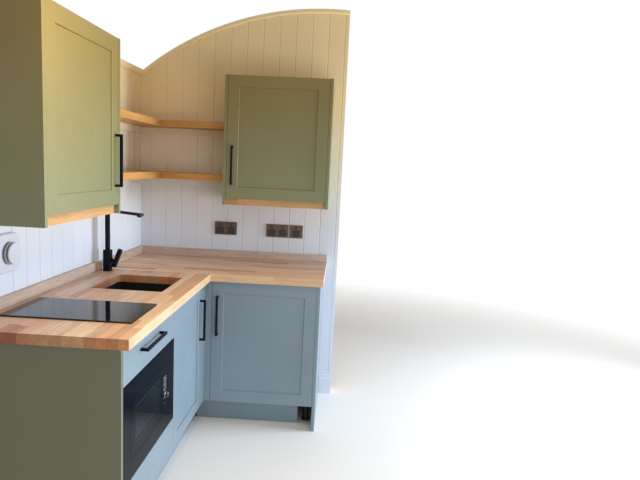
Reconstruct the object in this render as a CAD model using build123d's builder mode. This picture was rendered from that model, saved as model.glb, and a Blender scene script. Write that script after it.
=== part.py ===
from build123d import *

import os

# Corner kitchenette of a small arched-roof hut: an L of base units under a wooden worktop,
# two wall cupboards, wooden corner shelves, and the two lined wall pieces that carry them.
# Millimetres. X runs to the right along the back wall, Y runs away from the viewer, Z is up.
# The origin is on the floor, under the middle of the whole piece.

# Wall pieces and the beads along their arched heads
wall_thickness = 90
wall_step = 20
back_wall_length = 1325
left_wall_length = 1800
left_wall_step_from_back = 657
vault_radius = 1840
vault_apex_from_left = 1190
vault_apex_height = 2494
bead_width = 24
bead_thickness = 15
bead_bevel = 5

# Worktop and upstands
worktop_top = 910
worktop_thickness = 40
worktop_round = 2
worktop_setback = 12
front_overhang = 34
end_overhang = 16
upstand_thickness = 18
upstand_height = 47

# Base units
board = 18
back_panel = 8
carcass_wall_gap = 6
plinth_height = 150
left_front_depth = 586
back_front_depth = 570
door_thickness = 20
door_back_gap = 0.5
front_gap = 3
front_top_gap = 8
end_unit_width = 600
back_unit_width = 600
left_post_leg = 82.5
back_post_leg = 36
panel_seam = 1
base_shelf_lift = 332
base_shelf_setback = 60

# Plinths and legs
left_plinth_setback = 73
back_plinth_setback = 98
plinth_thickness = 16
plinth_corner_gap = 9
plinth_end_gap = 89
leg_radius = 15
leg_foot_radius = 25
leg_foot_height = 12
leg_inset = 40

# Shaker fronts
frame_width = 68
recess_depth = 6
recess_bevel = 2
edge_round = 1

# Bar handles
handle_length = 230
handle_bar = 11
handle_reach = 32
handle_end_distance = 80
drawer_handle_drop = 59
drawer_handle_offset = 16

# Drawer
drawer_gap_below = 5
drawer_box_depth = 470
drawer_box_height = 92
drawer_box_lift = 18
drawer_board = 15
drawer_floor = 10
drawer_side_gap = 13
runner_lift = 18
runner_height = 45
runner_gap = 0.3

# Built-in microwave oven
panel_below_height = 170
microwave_height = 388
trim_near = 68
trim_far = 90
trim_top = 74
trim_bottom = 76
oven_door_width = 364
oven_seam = 1.5
window_near = 54
window_far = 56
window_top = 54
window_bottom = 54
window_thickness = 5
window_setback = 0.5
case_depth = 380
case_rim = 12
cavity_depth = 340
cavity_side = 20
cavity_roof = 16
knob_radius = 13
knob_depth = 14
knob_skirt = 3
knob_skirt_depth = 3
knob_lift = 94
knob_gap = 0.3

# Hob
hob_from_left = 40
hob_width = 520
hob_length = 290
hob_from_end = 180
hob_glass = 7
hob_corner = 6
hob_box_inset = 16
hob_box_depth = 50
hob_cut_clearance = 2

# Sink, its waste and the trap under it
sink_from_left = 153
sink_from_back = 735
sink_width = 347
sink_length = 341
sink_corner = 14
sink_depth = 180
sink_wall = 4
sink_flange = 24
sink_reveal = 3
sink_floor_round = 10
waste_radius = 42
waste_rim = 2
waste_plug_radius = 33
waste_plug_rise = 2
waste_hole_radius = 30
waste_body_clearance = 0.5
waste_nut_radius = 37
waste_nut_height = 12
tail_radius = 16
tail_length = 30
trap_nut_radius = 25
trap_nut_height = 16
trap_radius = 31
trap_height = 96
trap_taper = 4
trap_outlet_drop = 24
trap_outlet_radius = 17

# Mixer tap
tap_from_left = 59
tap_behind_sink = 74
tap_block = 38
tap_block_height = 118
tap_column = 20
tap_height = 342
tap_edge = 1.5
spout_length = 285
spout_width = 24
spout_thickness = 13
spout_turn = -31
outlet_side = 18
outlet_drop = 6
aerator_radius = 7
aerator_drop = 3
lever_above = 70
lever_below = 34
lever_width = 24
lever_thickness = 22
lever_lean = 21
lever_pivot_height = 60
stem_radius = 13
stem_length = 9
knuckle_radius = 8
knuckle_width = 16
knuckle_neck = 10
knuckle_reach = 19
knuckle_depth = 9
tap_running_gap = 0.3

# Wall cupboards
wall_unit_above_worktop = 374
wall_unit_height = 762
wall_unit_depth = 329
wall_unit_width = 636
wall_unit_setback = 16
back_wall_unit_left = 616
oak_thickness = 40
wall_shelf_lift = 366
wall_shelf_setback = 40

# Corner shelves
shelf_depth = 195
shelf_thickness = 40
lower_shelf_above_worktop = 548
shelf_spacing = 320
batten_height = 38
batten_thickness = 20

# Sockets
socket_above_worktop = 150
socket_side = 86
double_socket_width = 146
socket_thickness = 7
socket_round = 3
near_socket_left = 501
double_socket_left = 845
single_socket_gap = 10

# Wall fan
fan_side = 160
fan_corner = 40
fan_thickness = 20
fan_edge = 6
fan_from_back = 1459
fan_above_worktop = 220
fan_neck_radius = 40
fan_neck_depth = 20
fan_ring_radius = 47
fan_ring_thickness = 3
fan_cap_radius = 44
fan_cap_thickness = 6
fan_cap_edge = 2

# Places worked out from the sizes above
left_face_x = (wall_thickness + wall_step - back_wall_length) / 2
back_face_y = (left_wall_length - wall_thickness) / 2
vault_centre_height = vault_apex_height - vault_radius
wall_head_radius = vault_radius + bead_width
worktop_underside = worktop_top - worktop_thickness
fronts_top = worktop_underside - front_top_gap
left_carcass_front = left_front_depth - door_thickness - door_back_gap
back_carcass_front = back_front_depth - door_thickness - door_back_gap
back_unit_left = left_front_depth + back_post_leg
back_unit_right = back_unit_left + back_unit_width
right_panel_outer = back_unit_right + board
worktop_right = right_panel_outer + end_overhang
worktop_near = left_wall_length - worktop_setback
left_worktop_depth = left_front_depth + front_overhang
back_worktop_depth = back_front_depth + front_overhang
near_panel_outer = worktop_near - end_overhang
near_panel_inner = near_panel_outer - board
end_unit_far = near_panel_inner - end_unit_width
corner_door_near = end_unit_far - front_gap / 2
corner_post_near = back_front_depth + left_post_leg
corner_door_width = corner_door_near - corner_post_near - front_gap
end_front_near = near_panel_inner - front_gap / 2
end_front_far = end_unit_far + front_gap / 2
end_front_width = end_front_near - end_front_far
wall_unit_bottom = worktop_top + wall_unit_above_worktop
wall_unit_top = wall_unit_bottom + wall_unit_height
left_wall_unit_near = left_wall_length - wall_unit_setback
left_wall_unit_far = left_wall_unit_near - wall_unit_width
back_wall_unit_right = back_wall_unit_left + wall_unit_width
wall_carcass_front = wall_unit_depth - door_thickness - door_back_gap
left_unit_inside = (left_wall_unit_near - board, left_wall_unit_far + board)
back_unit_inside = (back_wall_unit_left + board, back_wall_unit_right - board)
oak_top = wall_unit_bottom + oak_thickness
wall_shelf_bottom = oak_top + wall_shelf_lift


def from_left(distance):
    """X of a point that far to the right of the left wall's lining."""
    return left_face_x + distance


def from_back(distance):
    """Y of a point that far in front of the back wall's lining."""
    return back_face_y - distance


def centred_rectangle(plane, centre_x, centre_y, width, height):
    """A rectangle drawn on the plane about a point of it."""
    with BuildSketch(plane) as outline:
        with Locations((centre_x, centre_y)):
            Rectangle(width, height)
    return outline.sketch


def slab(left, right, near, far, bottom, top):
    """A board between distances from the left wall and from the back wall, and two heights."""
    footprint = centred_rectangle(Plane.XY.offset(bottom), from_left((left + right) / 2),
                                  from_back((near + far) / 2), right - left, near - far)
    extrude(footprint, amount=top - bottom)


def facing_back_run(left, depth, bottom):
    """A plane on the back run: x to the right, y up, z towards the room."""
    return Plane(origin=(from_left(left), from_back(depth), bottom), x_dir=(1, 0, 0), z_dir=(0, -1, 0))


def facing_left_run(depth, near, bottom):
    """A plane on the left run: x away from the viewer, y up, z towards the room."""
    return Plane(origin=(from_left(depth), from_back(near), bottom), x_dir=(0, 1, 0), z_dir=(1, 0, 0))


def round_bar(plane, radius, amount):
    """A cylinder standing on the plane's origin."""
    with BuildSketch(plane) as outline:
        Circle(radius)
    extrude(outline.sketch, amount=amount)


def soft_front(plane, width, height):
    """A flat front standing on the plane, with the edges of its face eased."""
    extrude(centred_rectangle(plane, width / 2, height / 2, width, height), amount=door_thickness)
    face_edges = edges(Select.LAST).group_by(lambda edge: plane.to_local_coords(edge.center()).Z)[-1]
    chamfer(face_edges, length=edge_round)


def shaker_front(plane, width, height):
    """A framed front standing on the plane, its middle sunk and the sunk edge bevelled."""
    soft_front(plane, width, height)
    middle = (width / 2, height / 2)
    sunk = (width - 2 * frame_width, height - 2 * frame_width)
    mouth = (sunk[0] + 2 * recess_bevel, sunk[1] + 2 * recess_bevel)
    face = plane.offset(door_thickness)
    extrude(centred_rectangle(face, *middle, *sunk), amount=-recess_depth, mode=Mode.SUBTRACT)
    outer = centred_rectangle(face, *middle, *mouth)
    inner = centred_rectangle(face.offset(-recess_bevel), *middle, *sunk)
    loft(sections=[outer.face(), inner.face()], mode=Mode.SUBTRACT)


def bar_handle(plane, centre_x, centre_y, length, upright=True):
    """A square bar on two square feet, standing on the plane."""
    inner = length - 2 * handle_bar
    outline = (handle_bar, length) if upright else (length, handle_bar)
    gap = (handle_bar, inner) if upright else (inner, handle_bar)
    extrude(centred_rectangle(plane, centre_x, centre_y, *outline), amount=handle_reach)
    extrude(centred_rectangle(plane, centre_x, centre_y, *gap), amount=handle_reach - handle_bar,
            mode=Mode.SUBTRACT)


def wall_under_vault(left, right, near, far):
    """A wall piece between those distances, its head cut to the curve of the roof."""
    with BuildSketch(Plane.XZ.offset(-from_back(far))) as profile:
        with Locations((from_left((left + right) / 2), wall_head_radius)):
            Rectangle(right - left, 2 * wall_head_radius)
        with Locations((from_left(vault_apex_from_left), vault_centre_height)):
            Circle(wall_head_radius, mode=Mode.INTERSECT)
    extrude(profile.sketch, amount=near - far)


def bead_under_vault(left, right, near, far):
    """A strip of moulding between those distances, lying along the curve of the roof."""
    with BuildSketch(Plane.XZ.offset(-from_back(far))) as profile:
        with Locations((from_left(vault_apex_from_left), vault_centre_height)):
            Circle(wall_head_radius)
            Circle(vault_radius, mode=Mode.SUBTRACT)
        with Locations((from_left((left + right) / 2), wall_head_radius)):
            Rectangle(right - left, 2 * wall_head_radius, mode=Mode.INTERSECT)
    extrude(profile.sketch, amount=near - far)


def finish(builder, label):
    """Name the piece and write it."""
    builder.part.label = label
    export_step(builder.part, f"parts/{label}.step")


os.makedirs("parts", exist_ok=True)

# Walls: the back wall under the whole arch, the left wall in two parts that step by its thickness
with BuildPart() as back_wall:
    wall_under_vault(-wall_thickness - wall_step, back_wall_length, 0, -wall_thickness)
finish(back_wall, "back_wall")

with BuildPart() as left_wall_far:
    wall_under_vault(-wall_thickness - wall_step, 0, left_wall_step_from_back, 0)
finish(left_wall_far, "left_wall_far")

with BuildPart() as left_wall_near:
    wall_under_vault(-wall_thickness - wall_step, -wall_step, left_wall_length, left_wall_step_from_back)
finish(left_wall_near, "left_wall_near")

with BuildPart() as ceiling_beads:
    bead_under_vault(0, back_wall_length, bead_thickness, 0)
    bead_front = faces().sort_by(Axis.Y)[0]
    chamfer(bead_front.edges().filter_by(GeomType.CIRCLE).sort_by(SortBy.RADIUS)[0], length=bead_bevel)
    bead_under_vault(0, bead_thickness, left_wall_step_from_back, bead_thickness + panel_seam)
    bead_under_vault(-wall_step, bead_thickness - wall_step, left_wall_unit_far, left_wall_step_from_back)
finish(ceiling_beads, "ceiling_beads")

# Worktop: the back run fills the corner, the left run butts against it
hob_right = hob_from_left + hob_width
hob_near = worktop_near - hob_from_end
hob_far = hob_near - hob_length
hob_centre = (from_left((hob_from_left + hob_right) / 2), from_back((hob_near + hob_far) / 2))
hob_cut_inset = hob_box_inset - hob_cut_clearance
sink_centre = (from_left(sink_from_left + sink_width / 2), from_back(sink_from_back + sink_length / 2))

with BuildPart() as back_worktop:
    slab(0, worktop_right, back_worktop_depth, 0, worktop_underside, worktop_top)
    chamfer(edges().filter_by(Axis.X).group_by(Axis.Y)[0].group_by(Axis.Z)[-1], length=worktop_round)
finish(back_worktop, "back_worktop")

with BuildPart() as left_worktop:
    slab(0, left_worktop_depth, worktop_near, back_worktop_depth, worktop_underside, worktop_top)
    slab(-wall_step, 0, worktop_near, left_wall_step_from_back, worktop_underside, worktop_top)
    chamfer(edges().filter_by(Axis.Y).group_by(Axis.X)[-1].group_by(Axis.Z)[-1], length=worktop_round)
    with BuildSketch(Plane.XY.offset(worktop_underside)) as sink_cut:
        with Locations(sink_centre):
            RectangleRounded(sink_width, sink_length, sink_corner)
    extrude(sink_cut.sketch, amount=worktop_thickness, mode=Mode.SUBTRACT)
    hob_cut = centred_rectangle(Plane.XY.offset(worktop_underside), *hob_centre,
                                hob_width - 2 * hob_cut_inset, hob_length - 2 * hob_cut_inset)
    extrude(hob_cut, amount=worktop_thickness, mode=Mode.SUBTRACT)
finish(left_worktop, "left_worktop")

with BuildPart() as upstands:
    upstand_top = worktop_top + upstand_height
    slab(0, worktop_right, upstand_thickness, 0, worktop_top, upstand_top)
    slab(0, upstand_thickness, left_wall_step_from_back, upstand_thickness + panel_seam,
         worktop_top, upstand_top)
    slab(-wall_step, -panel_seam, worktop_near, left_wall_step_from_back, worktop_top, upstand_top)
finish(upstands, "upstands")

# Base unit carcasses
unit_floor = plinth_height + board
near_side_inner = near_panel_inner - board
middle_side_near = end_unit_far + board / 2
middle_side_far = end_unit_far - board / 2
back_side_left = back_unit_left + board
back_side_right = back_unit_right - board
case_back_depth = carcass_wall_gap + back_panel

with BuildPart() as base_unit_sides:
    for near, far in ((near_panel_inner, near_side_inner), (middle_side_near, middle_side_far)):
        slab(carcass_wall_gap, left_carcass_front, near, far, plinth_height, worktop_underside)
    for left, right in ((back_unit_left, back_side_left), (back_side_right, back_unit_right)):
        slab(left, right, back_carcass_front, carcass_wall_gap, plinth_height, worktop_underside)
finish(base_unit_sides, "base_unit_sides")

# Fronts of the end unit, counted up from the plinth
panel_below_top = plinth_height + panel_below_height
microwave_bottom = panel_below_top + front_gap
microwave_top = microwave_bottom + microwave_height
drawer_front_bottom = microwave_top + drawer_gap_below
drawer_front_height = fronts_top - drawer_front_bottom
oven_opening_near = end_front_near - trim_near
oven_opening_far = end_front_far + trim_far
oven_opening_bottom = microwave_bottom + trim_bottom
oven_opening_top = microwave_top - trim_top
oven_shelf_top = oven_opening_bottom - case_rim
divider_bottom = microwave_top + front_gap / 2

with BuildPart() as cabinet_boards:
    for low in (plinth_height, oven_shelf_top - board, divider_bottom):
        slab(carcass_wall_gap, left_carcass_front, near_side_inner, middle_side_near, low, low + board)
    slab(carcass_wall_gap, left_carcass_front, middle_side_far, carcass_wall_gap, plinth_height, unit_floor)
    slab(back_side_left, back_side_right, back_carcass_front, carcass_wall_gap, plinth_height, unit_floor)
finish(cabinet_boards, "cabinet_boards")

with BuildPart() as base_unit_backs:
    for low, high in ((unit_floor, oven_shelf_top - board), (oven_shelf_top, divider_bottom),
                      (divider_bottom + board, worktop_underside)):
        slab(carcass_wall_gap, case_back_depth, near_side_inner, middle_side_near, low, high)
    slab(carcass_wall_gap, case_back_depth, middle_side_far, carcass_wall_gap, unit_floor, worktop_underside)
    slab(back_side_left, back_side_right, case_back_depth, carcass_wall_gap, unit_floor, worktop_underside)
finish(base_unit_backs, "base_unit_backs")

with BuildPart() as cabinet_shelves:
    base_shelf_bottom = unit_floor + base_shelf_lift
    slab(back_side_left, back_side_right, back_carcass_front - base_shelf_setback, case_back_depth,
         base_shelf_bottom, base_shelf_bottom + board)
    slab(back_panel - wall_step, wall_carcass_front - wall_shelf_setback, *left_unit_inside,
         wall_shelf_bottom, wall_shelf_bottom + board)
    slab(*back_unit_inside, wall_carcass_front - wall_shelf_setback, back_panel,
         wall_shelf_bottom, wall_shelf_bottom + board)
finish(cabinet_shelves, "cabinet_shelves")

with BuildPart() as corner_blind_panel:
    slab(left_carcass_front - board, left_carcass_front, corner_post_near, carcass_wall_gap,
         unit_floor, worktop_underside)
finish(corner_blind_panel, "corner_blind_panel")

with BuildPart() as corner_post:
    slab(left_carcass_front, left_front_depth, corner_post_near, back_carcass_front,
         plinth_height, worktop_underside)
    slab(left_front_depth, back_unit_left, back_front_depth, back_carcass_front,
         plinth_height, worktop_underside)
finish(corner_post, "corner_post")

with BuildPart() as end_panels:
    slab(carcass_wall_gap - wall_step, left_front_depth, near_panel_outer, near_panel_inner,
         0, worktop_underside)
    slab(back_unit_right, right_panel_outer, back_front_depth, 0, 0, worktop_underside)
finish(end_panels, "end_panels")

# Plinths, and the legs that stand behind them
left_plinth_front = left_front_depth - left_plinth_setback
left_plinth_back = left_plinth_front - plinth_thickness
back_plinth_front = back_front_depth - back_plinth_setback
back_plinth_back = back_plinth_front - plinth_thickness

with BuildPart() as plinths:
    slab(left_plinth_back, left_plinth_front, near_panel_inner, back_plinth_front, 0, plinth_height)
    slab(left_plinth_front + plinth_corner_gap, back_unit_right - plinth_end_gap,
         back_plinth_front, back_plinth_back, 0, plinth_height)
finish(plinths, "plinths")

left_leg_rows = (carcass_wall_gap + leg_inset, left_plinth_back - leg_inset)
left_leg_spots = (near_panel_inner - leg_inset, end_unit_far, back_front_depth, carcass_wall_gap + leg_inset)
back_leg_rows = (carcass_wall_gap + leg_inset, back_plinth_back - leg_inset)
back_leg_spots = (back_unit_left + leg_inset, back_unit_right - leg_inset)
leg_places = [(from_left(row), from_back(spot)) for row in left_leg_rows for spot in left_leg_spots]
leg_places += [(from_left(spot), from_back(row)) for row in back_leg_rows for spot in back_leg_spots]

with BuildPart() as cabinet_legs:
    for place in leg_places:
        round_bar(Plane(origin=(*place, 0)), leg_foot_radius, leg_foot_height)
        round_bar(Plane(origin=(*place, leg_foot_height)), leg_radius, plinth_height - leg_foot_height)
finish(cabinet_legs, "cabinet_legs")

# Fixed panel below the oven
left_door_back = left_front_depth - door_thickness

with BuildPart() as panel_below_oven:
    soft_front(facing_left_run(left_door_back, end_front_near, plinth_height), end_front_width,
               panel_below_height)
finish(panel_below_oven, "panel_below_oven")

# Hinged doors
base_door_height = fronts_top - plinth_height
back_door_width = back_unit_width - front_gap
wall_door_bottom = oak_top + edge_round
wall_door_height = wall_unit_top - edge_round - wall_door_bottom
wall_door_width = wall_unit_width - 2 * board - front_gap
corner_door_plane = facing_left_run(left_door_back, corner_door_near, plinth_height)
back_door_plane = facing_back_run(back_unit_left + front_gap / 2, back_front_depth - door_thickness,
                                  plinth_height)
left_wall_door_plane = facing_left_run(wall_unit_depth - door_thickness,
                                       left_unit_inside[0] - front_gap / 2, wall_door_bottom)
back_wall_door_plane = facing_back_run(back_unit_inside[0] + front_gap / 2,
                                       wall_unit_depth - door_thickness, wall_door_bottom)

with BuildPart() as corner_door:
    shaker_front(corner_door_plane, corner_door_width, base_door_height)
finish(corner_door, "corner_door")

with BuildPart() as back_door:
    shaker_front(back_door_plane, back_door_width, base_door_height)
finish(back_door, "back_door")

with BuildPart() as left_wall_door:
    shaker_front(left_wall_door_plane, wall_door_width, wall_door_height)
finish(left_wall_door, "left_wall_door")

with BuildPart() as back_wall_door:
    shaker_front(back_wall_door_plane, wall_door_width, wall_door_height)
finish(back_wall_door, "back_wall_door")

# Bar handles, centred on the frame beside the opening edge
base_handle_middle = base_door_height - handle_end_distance - handle_length / 2
wall_handle_middle = handle_end_distance + handle_length / 2

with BuildPart() as corner_door_handle:
    bar_handle(corner_door_plane.offset(door_thickness), corner_door_width - frame_width / 2,
               base_handle_middle, handle_length)
finish(corner_door_handle, "corner_door_handle")

with BuildPart() as back_door_handle:
    bar_handle(back_door_plane.offset(door_thickness), frame_width / 2, base_handle_middle, handle_length)
finish(back_door_handle, "back_door_handle")

with BuildPart() as left_wall_door_handle:
    bar_handle(left_wall_door_plane.offset(door_thickness), wall_door_width - frame_width / 2,
               wall_handle_middle, handle_length)
finish(left_wall_door_handle, "left_wall_door_handle")

with BuildPart() as back_wall_door_handle:
    bar_handle(back_wall_door_plane.offset(door_thickness), frame_width / 2, wall_handle_middle,
               handle_length)
finish(back_wall_door_handle, "back_wall_door_handle")

# Drawer, on a runner each side
drawer_plane = facing_left_run(left_door_back, end_front_near, drawer_front_bottom)
drawer_near = near_side_inner - drawer_side_gap
drawer_far = middle_side_near + drawer_side_gap
drawer_back = left_door_back - drawer_box_depth
drawer_bottom = drawer_front_bottom + drawer_box_lift
drawer_top = drawer_bottom + drawer_box_height
runner_bottom = drawer_bottom + runner_lift

with BuildPart() as drawer_front:
    soft_front(drawer_plane, end_front_width, drawer_front_height)
finish(drawer_front, "drawer_front")

with BuildPart() as drawer_handle:
    bar_handle(drawer_plane.offset(door_thickness), end_front_width / 2 - drawer_handle_offset,
               drawer_front_height - drawer_handle_drop, handle_length, upright=False)
finish(drawer_handle, "drawer_handle")

with BuildPart() as drawer_sides:
    slab(drawer_back, left_door_back, drawer_near, drawer_near - drawer_board, drawer_bottom, drawer_top)
    slab(drawer_back, left_door_back, drawer_far + drawer_board, drawer_far, drawer_bottom, drawer_top)
finish(drawer_sides, "drawer_sides")

with BuildPart() as drawer_back_board:
    slab(drawer_back, drawer_back + drawer_board, drawer_near - drawer_board, drawer_far + drawer_board,
         drawer_bottom, drawer_top)
finish(drawer_back_board, "drawer_back_board")

with BuildPart() as drawer_floor_board:
    slab(drawer_back + drawer_board, left_door_back, drawer_near - drawer_board,
         drawer_far + drawer_board, drawer_bottom, drawer_bottom + drawer_floor)
finish(drawer_floor_board, "drawer_floor_board")

with BuildPart() as drawer_runners:
    for near, far in ((near_side_inner, drawer_near + runner_gap),
                      (drawer_far - runner_gap, middle_side_near)):
        slab(drawer_back, left_carcass_front, near, far, runner_bottom, runner_bottom + runner_height)
finish(drawer_runners, "drawer_runners")

# Built-in microwave oven: a trim frame, a case behind it, and a glazed door beside a control strip
oven_front_plane = facing_left_run(left_door_back, oven_opening_near, oven_opening_bottom)
oven_opening_width = oven_opening_near - oven_opening_far
oven_opening_height = oven_opening_top - oven_opening_bottom
oven_door_plane = oven_front_plane.offset(door_back_gap)
oven_door_height = oven_opening_height - 2 * oven_seam
oven_panel_thickness = door_thickness - door_back_gap
oven_door_middle = (oven_seam + oven_door_width / 2, oven_opening_height / 2)
oven_door_far = oven_opening_near - oven_seam - oven_door_width
window_size = (oven_door_width - window_near - window_far, oven_door_height - window_top - window_bottom)
window_middle = (oven_seam + window_near + window_size[0] / 2, oven_seam + window_bottom + window_size[1] / 2)
strip_width = oven_opening_width - oven_door_width - 3 * oven_seam
strip_middle = oven_opening_width - oven_seam - strip_width / 2
cavity_near = oven_opening_near - cavity_side
cavity_far = oven_door_far + cavity_side
cavity_bottom = oven_opening_bottom + cavity_roof
cavity_top = oven_opening_top - cavity_roof

with BuildPart() as microwave_trim:
    soft_front(facing_left_run(left_door_back, end_front_near, microwave_bottom), end_front_width,
               microwave_height)
    extrude(centred_rectangle(oven_front_plane, oven_opening_width / 2, oven_opening_height / 2,
                              oven_opening_width, oven_opening_height),
            amount=door_thickness, mode=Mode.SUBTRACT)
finish(microwave_trim, "microwave_trim")

with BuildPart() as microwave_case:
    slab(left_door_back - case_depth, left_door_back, oven_opening_near + case_rim,
         oven_opening_far - case_rim, oven_opening_bottom - case_rim, oven_opening_top + case_rim)
    cavity_height = cavity_top - cavity_bottom
    cavity_mouth = centred_rectangle(facing_left_run(left_door_back, cavity_near, cavity_bottom),
                                     (cavity_near - cavity_far) / 2, cavity_height / 2,
                                     cavity_near - cavity_far, cavity_height)
    extrude(cavity_mouth, amount=-cavity_depth, mode=Mode.SUBTRACT)
finish(microwave_case, "microwave_case")

with BuildPart() as microwave_door:
    extrude(centred_rectangle(oven_door_plane, *oven_door_middle, oven_door_width, oven_door_height),
            amount=oven_panel_thickness)
    extrude(centred_rectangle(oven_door_plane, *window_middle, *window_size),
            amount=oven_panel_thickness, mode=Mode.SUBTRACT)
finish(microwave_door, "microwave_door")

with BuildPart() as microwave_window:
    extrude(centred_rectangle(oven_door_plane.offset(oven_panel_thickness - window_setback),
                              *window_middle, *window_size), amount=-window_thickness)
finish(microwave_window, "microwave_window")

with BuildPart() as microwave_controls:
    extrude(centred_rectangle(oven_front_plane, strip_middle, oven_opening_height / 2, strip_width,
                              oven_door_height), amount=door_thickness)
finish(microwave_controls, "microwave_controls")

with BuildPart() as microwave_knob:
    knob_plane = facing_left_run(left_front_depth + knob_gap, oven_opening_near - strip_middle,
                                 oven_opening_bottom + knob_lift)
    round_bar(knob_plane, knob_radius + knob_skirt, knob_skirt_depth)
    round_bar(knob_plane, knob_radius, knob_depth)
    chamfer(faces().sort_by(Axis.X)[-1].edges(), length=edge_round)
finish(microwave_knob, "microwave_knob")

# Hob: a glass plate on the worktop over a case that hangs through it
with BuildPart() as hob_plate:
    with BuildSketch(Plane.XY.offset(worktop_top)) as plate_outline:
        with Locations(hob_centre):
            RectangleRounded(hob_width, hob_length, hob_corner)
    extrude(plate_outline.sketch, amount=hob_glass)
    chamfer(faces().sort_by(Axis.Z)[-1].edges(), length=edge_round)
finish(hob_plate, "hob_plate")

with BuildPart() as hob_box:
    extrude(centred_rectangle(Plane.XY.offset(worktop_top), *hob_centre, hob_width - 2 * hob_box_inset,
                              hob_length - 2 * hob_box_inset), amount=-hob_box_depth)
finish(hob_box, "hob_box")

# Sink: a bowl hung under the worktop, its waste, and the bottle trap that drains to the wall
bowl_size = (sink_width + 2 * sink_reveal, sink_length + 2 * sink_reveal)
bowl_floor = worktop_underside - sink_depth
bowl_underside = bowl_floor - sink_wall
flange_plane = Plane(origin=(*sink_centre, worktop_underside))

with BuildPart() as sink_bowl:
    with BuildSketch(flange_plane) as flange:
        RectangleRounded(bowl_size[0] + 2 * sink_flange, bowl_size[1] + 2 * sink_flange,
                         sink_corner + sink_flange)
    extrude(flange.sketch, amount=-sink_wall)
    with BuildSketch(flange_plane) as bowl_outside:
        RectangleRounded(bowl_size[0] + 2 * sink_wall, bowl_size[1] + 2 * sink_wall, sink_corner + sink_wall)
    extrude(bowl_outside.sketch, amount=-sink_depth - sink_wall)
    with BuildSketch(flange_plane) as bowl_inside:
        RectangleRounded(*bowl_size, sink_corner)
    extrude(bowl_inside.sketch, amount=-sink_depth, mode=Mode.SUBTRACT)
    fillet(faces().filter_by(Plane.XY).group_by(Axis.Z)[1].edges(), radius=sink_floor_round)
    with BuildSketch(Plane(origin=(*sink_centre, bowl_floor))) as waste_hole:
        Circle(waste_hole_radius)
    extrude(waste_hole.sketch, amount=-sink_wall, mode=Mode.SUBTRACT)
finish(sink_bowl, "sink_bowl")

with BuildPart() as sink_waste:
    with BuildSketch(Plane(origin=(*sink_centre, 0), x_dir=(1, 0, 0), z_dir=(0, -1, 0))):
        with BuildLine():
            Polyline(
                (0, bowl_floor + waste_rim + waste_plug_rise),
                (waste_plug_radius - waste_plug_rise, bowl_floor + waste_rim + waste_plug_rise),
                (waste_plug_radius, bowl_floor + waste_rim),
                (waste_radius - waste_rim, bowl_floor + waste_rim),
                (waste_radius, bowl_floor),
                (waste_hole_radius - waste_body_clearance, bowl_floor),
                (waste_hole_radius - waste_body_clearance, bowl_underside),
                (waste_nut_radius, bowl_underside),
                (waste_nut_radius, bowl_underside - waste_nut_height),
                (tail_radius, bowl_underside - waste_nut_height),
                (tail_radius, bowl_underside - waste_nut_height - tail_length),
                (0, bowl_underside - waste_nut_height - tail_length),
                close=True,
            )
        make_face()
    revolve(axis=Axis(origin=(*sink_centre, 0), direction=(0, 0, 1)))
finish(sink_waste, "sink_waste")

with BuildPart() as sink_trap:
    trap_top = bowl_underside - waste_nut_height - tail_length
    bottle_top = trap_top - trap_nut_height
    bottle_bottom = bottle_top - trap_height
    with BuildSketch(Plane(origin=(*sink_centre, 0), x_dir=(1, 0, 0), z_dir=(0, -1, 0))):
        with BuildLine():
            Polyline(
                (0, trap_top),
                (trap_nut_radius, trap_top),
                (trap_nut_radius, bottle_top),
                (trap_radius, bottle_top),
                (trap_radius - trap_taper, bottle_bottom),
                (0, bottle_bottom),
                close=True,
            )
        make_face()
    revolve(axis=Axis(origin=(*sink_centre, 0), direction=(0, 0, 1)))
    outlet_plane = Plane(origin=(*sink_centre, bottle_top - trap_outlet_drop), x_dir=(0, 1, 0),
                         z_dir=(-1, 0, 0))
    round_bar(outlet_plane, trap_outlet_radius, sink_from_left + sink_width / 2 - case_back_depth)
finish(sink_trap, "sink_trap")

# Mixer tap: a square block and column, a flat spout that turns on top, and a lever on its right side
tap_from_back = sink_from_back - tap_behind_sink
block_top = worktop_top + tap_block_height
spout_bottom = worktop_top + tap_height - spout_thickness
tap_plane = Plane(origin=(from_left(tap_from_left), from_back(tap_from_back), worktop_top))
spout_plane = Plane(origin=(from_left(tap_from_left), from_back(tap_from_back), spout_bottom))
spout_plane = spout_plane.rotated((0, 0, spout_turn))

with BuildPart() as tap_body:
    extrude(centred_rectangle(tap_plane, 0, 0, tap_block, tap_block), amount=tap_block_height)
    chamfer(faces().sort_by(Axis.Z)[-1].edges() + edges().filter_by(Axis.Z), length=tap_edge)
    extrude(centred_rectangle(tap_plane.offset(tap_block_height), 0, 0, tap_column, tap_column),
            amount=spout_bottom - block_top - tap_running_gap)
finish(tap_body, "tap_body")

with BuildPart() as tap_spout:
    arm_length = spout_length + tap_column / 2
    outlet_middle = spout_length - outlet_side
    extrude(centred_rectangle(spout_plane, (spout_length - tap_column / 2) / 2, 0, arm_length, spout_width),
            amount=spout_thickness)
    chamfer(faces().sort_by(Axis.Z)[-1].edges(), length=tap_edge)
    extrude(centred_rectangle(spout_plane, outlet_middle, 0, outlet_side, outlet_side), amount=-outlet_drop)
    with BuildSketch(spout_plane.offset(-outlet_drop)) as aerator:
        with Locations((outlet_middle, 0)):
            Circle(aerator_radius)
    extrude(aerator.sketch, amount=-aerator_drop)
finish(tap_spout, "tap_spout")

stem_plane = facing_left_run(tap_from_left + tap_block / 2, tap_from_back, worktop_top + lever_pivot_height)
knuckle_centre = stem_plane.offset(knuckle_reach).origin
knuckle_plane = Plane(origin=knuckle_centre, x_dir=(1, 0, 0), z_dir=(0, 1, 0))
lever_direction = Vector(0, 0, 1).rotate(Axis.Y, lever_lean)
lever_plane = Plane(origin=knuckle_centre, x_dir=(0, 1, 0), z_dir=lever_direction)

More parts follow.
